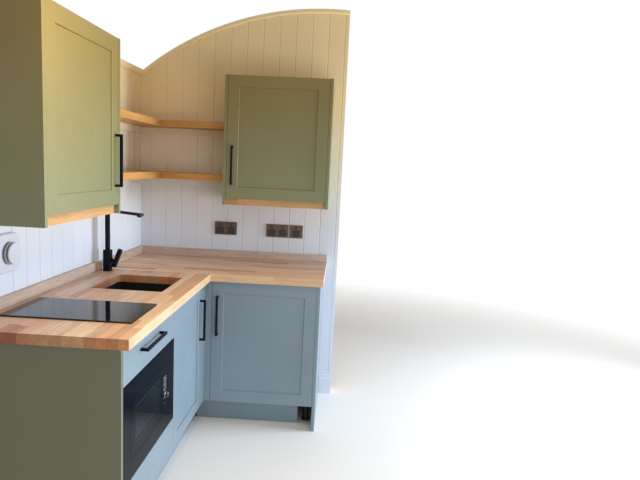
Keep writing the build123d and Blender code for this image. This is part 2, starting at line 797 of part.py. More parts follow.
with BuildPart() as tap_stem:
    round_bar(stem_plane.offset(tap_running_gap), stem_radius, stem_length)
    extrude(centred_rectangle(stem_plane.offset(stem_length), 0, 0, knuckle_width, knuckle_neck),
            amount=knuckle_reach - stem_length)
    with BuildSketch(knuckle_plane) as knuckle:
        Circle(knuckle_radius)
    extrude(knuckle.sketch, amount=knuckle_width / 2, both=True)
finish(tap_stem, "tap_stem")

with BuildPart() as tap_lever:
    extrude(centred_rectangle(lever_plane.offset(-lever_below), 0, -knuckle_depth, lever_width,
                              lever_thickness), amount=lever_below + lever_above)
    chamfer(edges().filter_by(Axis((0, 0, 0), lever_direction)), length=tap_edge)
    with BuildSketch(knuckle_plane) as knuckle_socket:
        Circle(knuckle_radius + tap_running_gap)
    extrude(knuckle_socket.sketch, amount=lever_width, both=True, mode=Mode.SUBTRACT)
finish(tap_lever, "tap_lever")

# Wall cupboards: sides run to the front of the doors, which sit between them
with BuildPart() as wall_unit_sides:
    for near, far in ((left_wall_unit_near, left_unit_inside[0]), (left_unit_inside[1], left_wall_unit_far)):
        slab(-wall_step, wall_unit_depth, near, far, wall_unit_bottom, wall_unit_top)
    for left, right in ((back_wall_unit_left, back_unit_inside[0]),
                        (back_unit_inside[1], back_wall_unit_right)):
        slab(left, right, wall_unit_depth, 0, wall_unit_bottom, wall_unit_top)
finish(wall_unit_sides, "wall_unit_sides")

with BuildPart() as wall_unit_oak_boards:
    slab(-wall_step, wall_carcass_front, *left_unit_inside, wall_unit_bottom, oak_top)
    slab(*back_unit_inside, wall_carcass_front, 0, wall_unit_bottom, oak_top)
finish(wall_unit_oak_boards, "wall_unit_oak_boards")

with BuildPart() as wall_unit_tops:
    slab(-wall_step, wall_carcass_front, *left_unit_inside, wall_unit_top - board, wall_unit_top)
    slab(*back_unit_inside, wall_carcass_front, 0, wall_unit_top - board, wall_unit_top)
finish(wall_unit_tops, "wall_unit_tops")

with BuildPart() as wall_unit_backs:
    slab(-wall_step, back_panel - wall_step, *left_unit_inside, oak_top, wall_unit_top - board)
    slab(*back_unit_inside, back_panel, 0, oak_top, wall_unit_top - board)
finish(wall_unit_backs, "wall_unit_backs")

# Corner shelves: the back arm runs into the corner, the left arm butts against it, battens carry both
lower_shelf_top = worktop_top + lower_shelf_above_worktop
shelf_tops = (lower_shelf_top, lower_shelf_top + shelf_spacing)

with BuildPart() as corner_shelves:
    for shelf_top in shelf_tops:
        slab(0, back_wall_unit_left, shelf_depth, 0, shelf_top - shelf_thickness, shelf_top)
        slab(0, shelf_depth, left_wall_unit_far, shelf_depth + panel_seam, shelf_top - shelf_thickness,
             shelf_top)
finish(corner_shelves, "corner_shelves")

with BuildPart() as shelf_battens:
    for shelf_top in shelf_tops:
        batten_top = shelf_top - shelf_thickness
        slab(0, back_wall_unit_left, batten_thickness, 0, batten_top - batten_height, batten_top)
        slab(0, batten_thickness, left_wall_step_from_back, batten_thickness + panel_seam,
             batten_top - batten_height, batten_top)
finish(shelf_battens, "shelf_battens")

# Sockets and the wall fan
socket_plane = facing_back_run(0, 0, worktop_top + socket_above_worktop)
single_socket_left = double_socket_left + double_socket_width + single_socket_gap

with BuildPart() as socket_plates:
    for plate_left, plate_width in ((near_socket_left, double_socket_width),
                                    (double_socket_left, double_socket_width),
                                    (single_socket_left, socket_side)):
        with BuildSketch(socket_plane) as plate:
            with Locations((plate_left + plate_width / 2, socket_side / 2)):
                RectangleRounded(plate_width, socket_side, socket_round)
        extrude(plate.sketch, amount=socket_thickness)
finish(socket_plates, "socket_plates")

fan_plane = facing_left_run(-wall_step, fan_from_back, worktop_top + fan_above_worktop)

with BuildPart() as fan_cover:
    with BuildSketch(fan_plane) as cover_outline:
        RectangleRounded(fan_side, fan_side, fan_corner)
    extrude(cover_outline.sketch, amount=fan_thickness)
    fillet(faces().sort_by(Axis.X)[-1].edges(), radius=fan_edge)
finish(fan_cover, "fan_cover")

with BuildPart() as fan_neck:
    round_bar(fan_plane.offset(fan_thickness), fan_neck_radius, fan_neck_depth)
    ring_plane = fan_plane.offset(fan_thickness + (fan_neck_depth - fan_ring_thickness) / 2)
    round_bar(ring_plane, fan_ring_radius, fan_ring_thickness)
finish(fan_neck, "fan_neck")

with BuildPart() as fan_cap:
    round_bar(fan_plane.offset(fan_thickness + fan_neck_depth), fan_cap_radius, fan_cap_thickness)
    fillet(faces().sort_by(Axis.X)[-1].edges(), radius=fan_cap_edge)
finish(fan_cap, "fan_cap")
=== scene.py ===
# %% [markdown]
# # A corner kitchenette on its two boarded walls
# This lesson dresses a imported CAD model. The solids already have the right sizes and places, so
# nothing here moves them. Each cell adds what the solids leave out: grooved lining boards, wood
# staves, paint, glass, hinges and switches. Everything is in metres, in the frame of the solids:
# x runs to the right, y to the back and z up.

import bmesh
import bpy
import numpy as np
from mathutils import Matrix, Vector


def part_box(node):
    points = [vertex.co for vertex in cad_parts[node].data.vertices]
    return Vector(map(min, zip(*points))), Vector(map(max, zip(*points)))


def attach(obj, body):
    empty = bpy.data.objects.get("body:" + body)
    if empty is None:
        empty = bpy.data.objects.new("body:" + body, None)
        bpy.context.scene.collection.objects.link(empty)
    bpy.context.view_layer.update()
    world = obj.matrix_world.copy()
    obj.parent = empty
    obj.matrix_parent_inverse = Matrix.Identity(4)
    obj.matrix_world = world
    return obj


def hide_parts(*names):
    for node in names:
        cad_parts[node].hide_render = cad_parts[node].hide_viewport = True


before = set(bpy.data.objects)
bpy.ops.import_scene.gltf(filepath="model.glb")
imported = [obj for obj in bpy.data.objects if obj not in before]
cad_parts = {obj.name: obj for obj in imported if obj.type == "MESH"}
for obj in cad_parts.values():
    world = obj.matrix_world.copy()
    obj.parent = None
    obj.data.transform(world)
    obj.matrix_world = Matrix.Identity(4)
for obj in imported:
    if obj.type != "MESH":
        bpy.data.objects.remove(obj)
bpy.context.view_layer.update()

# %% [markdown]
# ## Camera
# The kitchenette is seen from about head height, a little to the right of the long run, looking
# slightly down. A camera can be aimed with angles, but three measured directions are exact: they
# are the columns of its matrix, with the last one pointing backwards.

# %% Camera at the viewing angle
EYE = Vector((0.7199, -2.7384, 1.5341))
TO_RIGHT = Vector((0.99802327, 0.0407008, 0.04788518))
TO_TOP = Vector((-0.05280255, 0.12987275, 0.99012371))
BACKWARDS = Vector((0.03407985, -0.99069497, 0.13176513))
LENS = 30.757
SENSOR_WIDTH = 36

camera_data = bpy.data.cameras.new("camera")
camera_data.sensor_width = SENSOR_WIDTH
camera_data.lens = LENS
camera = bpy.data.objects.new("camera", camera_data)
directions = Matrix((TO_RIGHT, TO_TOP, BACKWARDS)).transposed().to_4x4()
camera.matrix_world = Matrix.Translation(EYE) @ directions
bpy.context.scene.collection.objects.link(camera)
bpy.context.scene.camera = camera
bpy.context.scene.view_settings.view_transform = "Standard"
print("camera lens", LENS, "mm")

# %% [markdown]
# ## Light
# Cool daylight comes from the right and meets a warmer, even light. A large area lamp is the
# daylight, because its shadows have soft edges. A second one fills in from the front, and a small
# warm one looks down past the near end of the long run.

# %% Soft lamps
LAMPS = [  # name, place, target, size, watts, tint
    ("side_light", (3.6, 0.45, 1.2), (-0.4, 0.0, 0.85), 1.6, 160, (0.78, 0.87, 1.0)),
    ("front_light", (1.6, -1.7, 0.9), (0.3, 0.3, 0.45), 1.0, 14, (1.0, 1.0, 1.0)),
    ("overhead_light", (0.45, -1.0, 2.1), (-0.45, -1.3, 1.2), 0.5, 13, (1.0, 0.82, 0.62)),
]

for name, place, target, size, watts, tint in LAMPS:
    lamp_data = bpy.data.lights.new(name, "AREA")
    lamp_data.size, lamp_data.energy, lamp_data.color = size, watts, tint
    lamp = bpy.data.objects.new(name, lamp_data)
    lamp.location = place
    towards = Vector(target) - Vector(place)
    lamp.rotation_euler = towards.to_track_quat("-Z", "Y").to_euler()
    bpy.context.scene.collection.objects.link(lamp)
print("lamps", len(LAMPS))

# %% [markdown]
# The world adds a slightly warm light from everywhere, but plain white should show behind the
# object. Light Path tells the two apart: the camera, mirrors and glass see the white.

# %% White backdrop
WORLD_LIGHT, WORLD_STRENGTH = (1.0, 0.93, 0.84, 1.0), 0.4
BACKDROP, BACKDROP_STRENGTH = (1.0, 1.0, 1.0, 1.0), 1.0

world = bpy.data.worlds.new("studio")
bpy.context.scene.world = world
world.use_nodes = True
nodes, links = world.node_tree.nodes, world.node_tree.links
nodes.clear()
path = nodes.new("ShaderNodeLightPath")
sees_backdrop = path.outputs["Is Camera Ray"]
for ray in ("Is Glossy Ray", "Is Transmission Ray"):
    either = nodes.new("ShaderNodeMath")
    either.operation = "MAXIMUM"
    links.new(sees_backdrop, either.inputs[0])
    links.new(path.outputs[ray], either.inputs[1])
    sees_backdrop = either.outputs[0]
choice = nodes.new("ShaderNodeMixShader")
links.new(sees_backdrop, choice.inputs[0])
lights = ((WORLD_LIGHT, WORLD_STRENGTH), (BACKDROP, BACKDROP_STRENGTH))
for socket, (colour, strength) in zip(choice.inputs[1:], lights):
    background = nodes.new("ShaderNodeBackground")
    background.inputs["Color"].default_value = colour
    background.inputs["Strength"].default_value = strength
    links.new(background.outputs[0], socket)
links.new(choice.outputs[0], nodes.new("ShaderNodeOutputWorld").inputs["Surface"])
print("world light", WORLD_STRENGTH, "backdrop", BACKDROP_STRENGTH)

# %% [markdown]
# ## Material helpers
# A finish is more than one colour. Paint has a fine stipple and each board takes it a little
# differently. These helpers hide the wiring of shader nodes, so that the cells below read as a
# recipe. All patterns read Object coordinates, which are metres here, so 900 means 900 per metre.

# %% Helpers for patterns
def srgb(red, green, blue):
    """The linear colour of 0 to 255 screen values: ((v + 0.055) / 1.055) to the power 2.4."""
    value = np.array([red, green, blue]) / 255
    linear = np.where(value <= 0.04045, value / 12.92, ((value + 0.055) / 1.055) ** 2.4)
    return (*linear.tolist(), 1.0)


class Pattern:
    """Short ways to wire the nodes of a material; its place is the Object coordinates."""

    def __init__(self, material):
        material.use_nodes = True
        self.nodes, self.links = material.node_tree.nodes, material.node_tree.links
        self.place = self.nodes.new("ShaderNodeTexCoord").outputs["Object"]

    def feed(self, socket, value):
        """Link an output to a socket, or set a plain number on it."""
        if isinstance(value, bpy.types.NodeSocket):
            self.links.new(value, socket)
        else:
            socket.default_value = value

    def add(self, kind, *values, **settings):
        """A node of that kind, with its settings, and its inputs fed in order."""
        node = self.nodes.new("ShaderNode" + kind)
        for setting, value in settings.items():
            setattr(node, setting, value)
        for socket, value in zip(node.inputs, values):
            self.feed(socket, value)
        return node

    def math(self, operation, first, second=0.0):
        return self.add("Math", first, second, operation=operation).outputs[0]

    def times(self, first, second):
        return self.math("MULTIPLY", first, second)

    def plus(self, first, second):
        return self.math("ADD", first, second)

    def stretched(self, *scales):
        """The place multiplied by a scale for each direction."""
        return self.add("VectorMath", self.place, scales, operation="MULTIPLY").outputs[0]

    def away(self, point, *scales):
        """How far the stretched place lies from a point."""
        node = self.add("VectorMath", self.stretched(*scales), point, operation="DISTANCE")
        return node.outputs["Value"]

    def noise(self, scale, detail=2.0, vector=None, roughness=0.5):
        node = self.nodes.new("ShaderNodeTexNoise")
        node.inputs["Scale"].default_value = scale
        node.inputs["Detail"].default_value = detail
        node.inputs["Roughness"].default_value = roughness
        self.feed(node.inputs["Vector"], self.place if vector is None else vector)
        return node.outputs[0]

    def random(self, vector):
        return self.add("TexWhiteNoise", vector).outputs[0]

    def together(self, x, y, z):
        return self.add("CombineXYZ", x, y, z).outputs[0]

    def apart(self):
        """The x, y and z of the place."""
        return self.add("SeparateXYZ", self.place).outputs

    def between(self, value, low, high, low_result=0.0, high_result=1.0):
        """Value from low to high becomes low_result to high_result, and stays inside them."""
        return self.add("MapRange", value, low, high, low_result, high_result).outputs[0]

    def ramp(self, value, stops):
        """Colours at places from 0 to 1."""
        node = self.add("ValToRGB", value)
        elements = node.color_ramp.elements
        elements[0].position, elements[0].color = stops[0]
        elements[1].position, elements[1].color = stops[-1]
        for position, colour in stops[1:-1]:
            elements.new(position).color = colour
        return node.outputs[0]

    def mix(self, factor, first, second, blend="MIX"):
        """Two colours; a colour mix has its factor at input 0 and its colours at 6 and 7."""
        node = self.add("Mix", data_type="RGBA", blend_type=blend)
        for index, value in ((0, factor), (6, first), (7, second)):
            self.feed(node.inputs[index], value)
        return node.outputs[2]

    def shaded(self, colour, grey):
        """The colour times one value in all three channels."""
        return self.mix(1.0, colour, self.together(grey, grey, grey), "MULTIPLY")


print("screen grey 128 is linear", round(srgb(128, 128, 128)[0], 4))

# %% [markdown]
# A finish is a material whose patterns feed its shader. Colour and gloss are linked straight in.
# Bump only tilts the shading, which is enough for relief as fine as paint or grain. A number that
# is the same all over the surface goes on the shader's own socket.

# %% A finish, and CAD nodes dressed in it
OWN_SOCKETS = {"metallic": "Metallic", "specular": "Specular IOR Level",
               "transmission": "Transmission Weight", "ior": "IOR"}


class Finish(Pattern):
    """A material, its shader, and what may vary over its surface."""

    def __init__(self, name, colour, roughness, **own):
        self.material = bpy.data.materials.new(name)
        super().__init__(self.material)
        self.shader = self.nodes["Principled BSDF"]
        self.shader.inputs["Base Color"].default_value = colour
        self.shader.inputs["Roughness"].default_value = roughness
        for word, number in own.items():
            self.shader.inputs[OWN_SOCKETS[word]].default_value = number

    def colour(self, value):
        self.links.new(value, self.shader.inputs["Base Color"])

    def gloss(self, value):
        self.links.new(value, self.shader.inputs["Roughness"])

    def uneven_gloss(self, scale, detail, smooth, rough, low=0.3):
        """Roughness from smooth to rough, as a noise goes from low to 0.7."""
        self.gloss(self.between(self.noise(scale, detail), low, 0.7, smooth, rough))

    def bump(self, height, distance):
        """Raise the surface by the height, over a distance in metres."""
        node = self.nodes.new("ShaderNodeBump")
        node.inputs["Strength"].default_value = 1.0
        node.inputs["Distance"].default_value = distance
        self.feed(node.inputs["Height"], height)
        self.links.new(node.outputs[0], self.shader.inputs["Normal"])

    def grain(self, scale, distance, detail=1.0):
        """A fine noise as bump."""
        self.bump(self.noise(scale, detail), distance)


def dress(finish, *node_names):
    """Give CAD nodes this finish, and say how many there are."""
    for node_name in node_names:
        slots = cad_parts[node_name].data.materials
        slots.clear()
        slots.append(finish.material)
    return len(node_names)


print("own sockets", len(OWN_SOCKETS))

# %% [markdown]
# ## Paint on the cupboards
# The doors are sprayed with one satin sage paint. It reads olive on the wall cupboards, in the
# warm light from overhead, and bluer on the base units, in the daylight. The two colours here are
# that painted warm light and painted daylight. One function makes both: a faint cloudiness in the
# colour, and a spray stipple a fraction of a millimetre deep. The colour may also change with
# height: a painted warm light that grows towards the top.

# %% Satin paint
STIPPLE = 1400
STIPPLE_DEPTH = 0.00006
# Two colours of one sage paint: a painted warm light and a painted daylight.
SAGE_IN_WARM_LIGHT = srgb(122, 127, 96)
OLIVE_IN_WARMER_LIGHT = srgb(126, 111, 59)
SAGE_IN_DAYLIGHT = srgb(122, 140, 152)


def satin_paint(name, colour, roughness=0.42, cloud=0.06, warm_light_above=None):
    """Colour times a slow noise, and a fine noise as height. The last argument is (colour, from z,
    to z): a painted warm light that mixes in that colour between the two heights.
    """
    finish = Finish(name, colour, roughness)
    # A painted warm light towards the top, when one is given.
    if warm_light_above:
        warm_lit_colour, from_height, to_height = warm_light_above
        height = finish.between(finish.apart()[2], from_height, to_height)
        colour = finish.mix(height, colour, warm_lit_colour)
    cloudy = finish.between(finish.noise(2.2, 3.0), 0.3, 0.7, 1 - cloud, 1 + cloud)
    finish.colour(finish.shaded(colour, cloudy))
    finish.uneven_gloss(35, 2.0, roughness - 0.05, roughness + 0.05)
    finish.grain(STIPPLE, STIPPLE_DEPTH)
    return finish


# The wall cupboards grow warmer towards the top: a painted warm light.
warm_lit_paint = satin_paint("olive sage satin paint", SAGE_IN_WARM_LIGHT, warm_light_above=(OLIVE_IN_WARMER_LIGHT, 1.3, 1.95))
daylit_paint = satin_paint("blue sage satin paint", SAGE_IN_DAYLIGHT)
painted = dress(warm_lit_paint, "left_wall_door", "back_wall_door", "wall_unit_sides",
                "wall_unit_tops")
painted += dress(daylit_paint, "corner_door", "back_door", "drawer_front", "panel_below_oven",
                 "corner_post", "plinths")
print("painted nodes", painted)

# %% [markdown]
# The end boards of the base units are one node, in the same sage paint. The near one is coloured
# with a painted warm shade, to go with the wall cupboards, and the far one with the painted
# daylight of the doors beside it. A step in y chooses between the two colours, and it lies in the
# gap between the boards, so no edge of it shows.

# %% Painted warm shade on the near end board
BETWEEN_END_BOARDS = -0.3
# The near board's colour is a painted warm shade: darker and more olive than the far one.
NEAR_END_IN_WARM_SHADE = srgb(110, 111, 92)

end_paint = satin_paint("satin paint on end boards", SAGE_IN_DAYLIGHT)
far_paint = end_paint.shader.inputs["Base Color"].links[0].from_socket
near_board = end_paint.math("LESS_THAN", end_paint.apart()[1], BETWEEN_END_BOARDS)
end_paint.colour(end_paint.mix(near_board, far_paint, NEAR_END_IN_WARM_SHADE))
print("end board nodes", dress(end_paint, "end_panels"))

# %% [markdown]
# ## Painted lining boards
# Both walls are lined with upright tongue and groove boards about 103 mm wide. A bump map could
# fake the grooves, but they catch real shadows and show at the top edge, so the lining is a sheet
# with the grooves in its outline. Behind it is the timber frame of the wall, and behind that a
# sheathing board. Each is one outline in plan, carried up to the wall's arched head.

# %% Arched head of the walls
wall_low, wall_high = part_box("back_wall")
ARCH_CENTRE_X = 0.5825
ARCH_CENTRE_Z = 0.654
ARCH_RADIUS = 1.864


def head_height(x):
    """Height of the arch above x: centre + square root of (radius squared - offset squared)."""
    arch = ARCH_CENTRE_Z + np.sqrt(ARCH_RADIUS ** 2 - (x - ARCH_CENTRE_X) ** 2)
    return np.minimum(arch, wall_high.z)


print("head at the left", round(float(head_height(wall_low.x)), 4),
      "highest", round(wall_high.z, 4))

# %% [markdown]
# A piece starts as two arrays: its points, and faces that list the points round them. One function
# puts them into a mesh, turns the faces outwards and adds the finish. It also says which CAD body
# the piece moves with. Most of them never move, so they ride on the kitchenette itself.

# %% From numpy arrays to a piece
def make_piece(name, solid, finish, body="kitchenette", smooth=False):
    """A mesh object from (points, faces), with its faces turned outwards, riding on a body."""
    vertices, faces = solid
    mesh = bpy.data.meshes.new(name)
    mesh.from_pydata(np.asarray(vertices).tolist(), [], [list(face) for face in faces])
    work = bmesh.new()
    work.from_mesh(mesh)
    bmesh.ops.recalc_face_normals(work, faces=work.faces)
    work.to_mesh(mesh)
    work.free()
    mesh.materials.append(finish.material)
    mesh.polygons.foreach_set("use_smooth", [smooth] * len(mesh.polygons))
    piece = bpy.data.objects.new(name, mesh)
    bpy.context.scene.collection.objects.link(piece)
    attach(piece, body)
    return piece


print("finishes so far", len(bpy.data.materials))

# %% [markdown]
# Small fittings are either turned, like a knob, or cut from a plate with rounded corners. Both are
# a stack of rings with the same number of points: sides join each ring to the next, and a flat
# face closes each end. Bevelled edges are only rings that are a little smaller.

# %% Rings, turned pieces and plates
def sides_between(below, above):
    """Faces from each point of a ring and its neighbour to the same two of the ring above."""
    corners = [below, np.roll(below, -1, -1), np.roll(above, -1, -1), above]
    return np.stack(corners, -1).reshape(-1, 4).tolist()


def circle(radius, lift, count):
    """Points radius * cos a, radius * sin a, lift, with a going once round."""
    angle = np.linspace(0, 2 * np.pi, count, endpoint=False)
    return np.column_stack([radius * np.cos(angle), radius * np.sin(angle), np.full(count, lift)])


def stacked(rings):
    """A closed solid through rings of equal count: sides between neighbours, and two ends."""
    rings = np.asarray(rings)
    number = np.arange(rings.shape[0] * rings.shape[1]).reshape(rings.shape[:2])
    ends = [number[0, ::-1].tolist(), number[-1].tolist()]
    return rings.reshape(-1, 3), sides_between(number[:-1], number[1:]) + ends


def turned(profile, count=32):
    """A solid through one circle for each (radius, lift) of the profile."""
    return stacked([circle(radius, lift, count) for radius, lift in profile])


def ring_band(radius, width, thickness, count=40):
    """A flat ring: circles outer low, outer high, inner high, inner low, joined in a loop."""
    profile = ((radius, 0), (radius, thickness), (radius - width, thickness), (radius - width, 0))
    rings = np.array([circle(across, lift, count) for across, lift in profile])
    number = np.arange(len(profile) * count).reshape(len(profile), count)
    return rings.reshape(-1, 3), sides_between(number, np.roll(number, -1, 0))


def rounded_outline(width, height, radius, per_corner=5):
    """Each corner's centre + radius * (cos a, sin a), with a through its quarter turn."""
    quarter = np.linspace(0, np.pi / 2, per_corner)
    angle = (quarter + np.arange(4)[:, None] * np.pi / 2).ravel()
    corner = np.repeat([[1, 1], [-1, 1], [-1, -1], [1, -1]], per_corner, axis=0)
    centres = corner * (np.array([width, height]) / 2 - radius)
    return centres + radius * np.column_stack([np.cos(angle), np.sin(angle)])


def plate(width, height, radius, *levels):
    """A rounded plate up from 0; each level is (inset, lift), so a growing inset is a bevel."""
    rings = []
    for inset, lift in ((0, 0), *levels):
        smallest = max(radius - inset, 0.0001)
        outline = rounded_outline(width - 2 * inset, height - 2 * inset, smallest)
        rings.append(np.column_stack([outline, np.full(len(outline), lift)]))
    return stacked(rings)


print("points round a plate", len(rounded_outline(1, 1, 0.1)))

# %% [markdown]
# Fittings are drawn flat, round their own middle, and then set on a face of the kitchenette. Three
# directions say how: where the drawing's right, its top and its front point to. That is clearer
# than angles, and since only the points are changed, every object stays at the origin.

# %% Put small solids in their places
FACING_FRONT = ((1, 0, 0), (0, 0, 1), (0, -1, 0))
FACING_RIGHT = ((0, 1, 0), (0, 0, 1), (1, 0, 0))
FACING_LEFT = ((0, -1, 0), (0, 0, 1), (-1, 0, 0))
FACING_BACK = ((-1, 0, 0), (0, 0, 1), (0, 1, 0))
UPWARDS = ((1, 0, 0), (0, 1, 0), (0, 0, 1))
DOWNWARDS = ((1, 0, 0), (0, -1, 0), (0, 0, -1))


def placed(solid, origin, axes, shift=(0.0, 0.0, 0.0)):
    """Origin + (local point + shift) times the three axes, for a solid's vertices."""
    vertices, faces = solid
    return np.array(origin) + (vertices + np.array(shift)) @ np.array(axes, dtype=float), faces


def shifted(solid, *shift):
    return placed(solid, (0, 0, 0), UPWARDS, shift)


def joined(solids):
    """Several solids as one: each one's face numbers are raised by the points before it."""
    vertices, faces, before = [], [], 0
    for points, solid_faces in solids:
        vertices.append(points)
        faces.extend([[index + before for index in face] for face in solid_faces])
        before += len(points)
    return np.concatenate(vertices), faces


def set_on(solids, origin, axes, shift=(0.0, 0.0, 0.0)):
    """Solids that were drawn together, joined and put in their place."""
    return placed(joined(solids), origin, axes, shift)


def middle(low, high):
    return (low.x + high.x) / 2, (low.y + high.y) / 2, (low.z + high.z) / 2


print("middle of the back wall", [round(value, 3) for value in middle(wall_low, wall_high)])

# %% [markdown]
# A wall sheet is a strip in plan: a front line and a back line with the same number of points.
# Joined into a loop and carried from the floor to the arch, they close into a solid board. The
# joints between boards are counted from the corner, where both walls start with a cut board.

# %% Wall sheets from two lines in plan
PITCH = 0.1031
GROOVE = 0.0035
GROOVE_FLOOR = 0.0006
GROOVE_DEPTH = 0.0035
ARCH_STEP = 0.03
LEFT_WALL_X = -0.6075
BACK_WALL_Y = 0.855
CORNER_BOARD = 0.0646
BACK_FIRST_JOINT = LEFT_WALL_X + CORNER_BOARD - 2 * PITCH
LEFT_FIRST_JOINT = BACK_WALL_Y - CORNER_BOARD - 20 * PITCH


def grooved_line(start, end, first_joint):
    """Distances along a wall and the groove's depth at each: 0 on a board, full at a joint."""
    joints = np.arange(first_joint, end - GROOVE, PITCH)
    joints = joints[joints > start + GROOVE]
    spots = (joints[:, None] + np.array([-GROOVE, -GROOVE_FLOOR, GROOVE_FLOOR, GROOVE])).ravel()
    depths = np.tile([0.0, GROOVE_DEPTH, GROOVE_DEPTH, 0.0], len(joints))
    plain = np.arange(start, end, ARCH_STEP)[1:]
    plain = plain[np.abs(plain[:, None] - joints).min(axis=1) > 2 * GROOVE]
    along = np.concatenate([[start, end], spots, plain])
    depth = np.concatenate([[0.0, 0.0], depths, np.zeros(len(plain))])
    order = np.argsort(along)
    return along[order], depth[order]


def wall_sheet(front, back):
    """Vertices and faces of a sheet between two lines in plan, from the floor to the arch."""
    count = len(front)
    plan = np.concatenate([front, back[::-1]])
    floor_ring = np.column_stack([plan, np.zeros(2 * count)])
    head_ring = np.column_stack([plan, head_height(plan[:, 0])])
    number = np.arange(4 * count).reshape(2, 2 * count)
    step = np.arange(count - 1)
    opposite = 2 * count - 1 - step
    bottom = np.column_stack([step, step + 1, opposite - 1, opposite])
    ends = np.concatenate([bottom, bottom + 2 * count]).tolist()
    return np.concatenate([floor_ring, head_ring]), sides_between(number[0], number[1]) + ends


print("groove", GROOVE * 2000, "mm wide")

# %% [markdown]
# The lining's paint is an off-white brushed up and down, so its bump is stretched along z. A
# random value for each board, found by rounding the distance down to whole boards, keeps
# neighbours from matching exactly, as real boards never do. Like the cupboards' paint, it is
# cooler near the worktop and creamier above: a painted warm light from overhead.

# %% Finishes of the walls
COOL_WHITE = srgb(208, 216, 228)
WARM_CREAM = srgb(239, 213, 161)
COOL_BELOW, WARM_ABOVE = 1.05, 2.0


def lining_paint(name, along, first_joint):
    """Colour of each board from a random value at floor((along - first joint) / pitch)."""
    finish = Finish(name, COOL_WHITE, 0.5)
    place = finish.apart()
    # Creamier above: a painted warm light that grows with height.
    painted_warmth = finish.between(place[2], COOL_BELOW, WARM_ABOVE)
    colour = finish.mix(painted_warmth, COOL_WHITE, WARM_CREAM)
    boards = finish.math("DIVIDE", finish.math("SUBTRACT", place[along], first_joint), PITCH)
    own = finish.random(finish.together(finish.math("FLOOR", boards), 0.0, 3.0))
    tone = finish.between(own, 0.0, 1.0, 0.965, 1.01)
    slow = finish.noise(3.0, 4.0, finish.stretched(1.0, 1.0, 0.25))
    knots = finish.between(slow, 0.35, 0.65, 0.985, 1.0)
    finish.colour(finish.shaded(colour, finish.times(tone, knots)))
    brushed = finish.noise(260, 3.0, finish.stretched(1.0, 1.0, 0.03))
    finish.gloss(finish.between(brushed, 0.3, 0.7, 0.44, 0.56))
    finish.bump(brushed, 0.00012)
    return finish


back_lining_paint = lining_paint("lining paint on back wall", 0, BACK_FIRST_JOINT)
left_lining_paint = lining_paint("lining paint on left wall", 1, LEFT_FIRST_JOINT)
# The trim takes the same painted warm light towards the top.
trim_paint = satin_paint("trim paint", COOL_WHITE, 0.4, 0.02, (WARM_CREAM, COOL_BELOW, WARM_ABOVE))
print("trim nodes", dress(trim_paint, "ceiling_beads", "shelf_battens"))

# %% [markdown]
# The frame of the wall is softwood and its sheathing is a pressed board of flat strands. Softwood
# needs long bands of noise. The strands are a Voronoi pattern with random cells, squashed so that
# each cell is a flake a few centimetres long. One layer of flakes stands up and one lies level, and
# a random value for each upright flake says which layer lies on top there.

# %% Softwood and strand board
FLAKES_PER_METRE = 20
UPRIGHT_SHARE = 0.55

softwood = Finish("softwood framing", srgb(205, 172, 124), 0.7)
bands = softwood.noise(9, 5.0, softwood.stretched(6.0, 6.0, 0.5), 0.6)
softwood.colour(softwood.ramp(bands, [(0.3, srgb(178, 138, 92)), (0.5, srgb(206, 172, 124)),
                                      (0.7, srgb(222, 194, 150))]))
softwood.bump(bands, 0.0003)

strand_board = Finish("strand board sheathing", srgb(190, 154, 104), 0.75)


def strands(*squash):
    """A random value for each Voronoi cell, with the cells squashed into flakes one way."""
    cells = strand_board.nodes.new("ShaderNodeTexVoronoi")
    cells.inputs["Scale"].default_value = FLAKES_PER_METRE
    strand_board.feed(cells.inputs["Vector"], strand_board.stretched(*squash))
    return strand_board.random(cells.outputs["Position"])


upright, level = strands(3.6, 3.6, 0.9), strands(1.1, 1.1, 4.0)
pick = strand_board.random(strand_board.together(upright, upright, 2.0))
on_top = strand_board.math("GREATER_THAN", pick, UPRIGHT_SHARE)
below = strand_board.math("SUBTRACT", 1.0, on_top)
flake = strand_board.plus(strand_board.times(upright, on_top), strand_board.times(level, below))
fibres = strand_board.noise(60, 3.0, strand_board.stretched(1.0, 1.0, 0.3))
flake = strand_board.times(flake, strand_board.between(fibres, 0.3, 0.7, 0.82, 1.0))
strand_board.colour(strand_board.ramp(flake, [
    (0.0, srgb(168, 131, 86)), (0.4, srgb(194, 159, 109)),
    (0.75, srgb(208, 176, 127)), (1.0, srgb(220, 193, 148))]))
strand_board.bump(flake, 0.0004)
print("flakes per metre", FLAKES_PER_METRE)

# %% [markdown]
# Each wall is three sheets one behind the other: lining, frame and sheathing. Together they stand
# for the wall's solid. Only the lining's front line has grooves. The far part of the left wall
# returns into the corner behind the shelves, and its lining is thicker there.

# %% Build the three wall pieces
LINING = 0.012
RETURNED_LINING = 0.021
SHEATHING = 0.011


def build_wall(node, face, outside, ends, first_joint, paint, lining=LINING):
    """Sheets from the face to the outside; a wall along x has its ends as two values of x."""
    along, depth = grooved_line(*ends, first_joint)
    facing_y = node == "back_wall"
    inwards = 1.0 if outside > face else -1.0

    def line(offsets):
        distance = face + inwards * offsets
        return np.column_stack([along, distance] if facing_y else [distance, along])

    flat = np.zeros(len(along))
    thickness = abs(outside - face)
    for layer, front, back, finish in (
            ("lining", depth, flat + lining, paint),
            ("frame", flat + lining, flat + thickness - SHEATHING, softwood),
            ("sheathing", flat + thickness - SHEATHING, flat + thickness, strand_board)):
        sheet = wall_sheet(line(front), line(back))
        piece = make_piece(f"{node}_{layer}", sheet, finish)
        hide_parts(node)
    print(node, "points along", len(along))


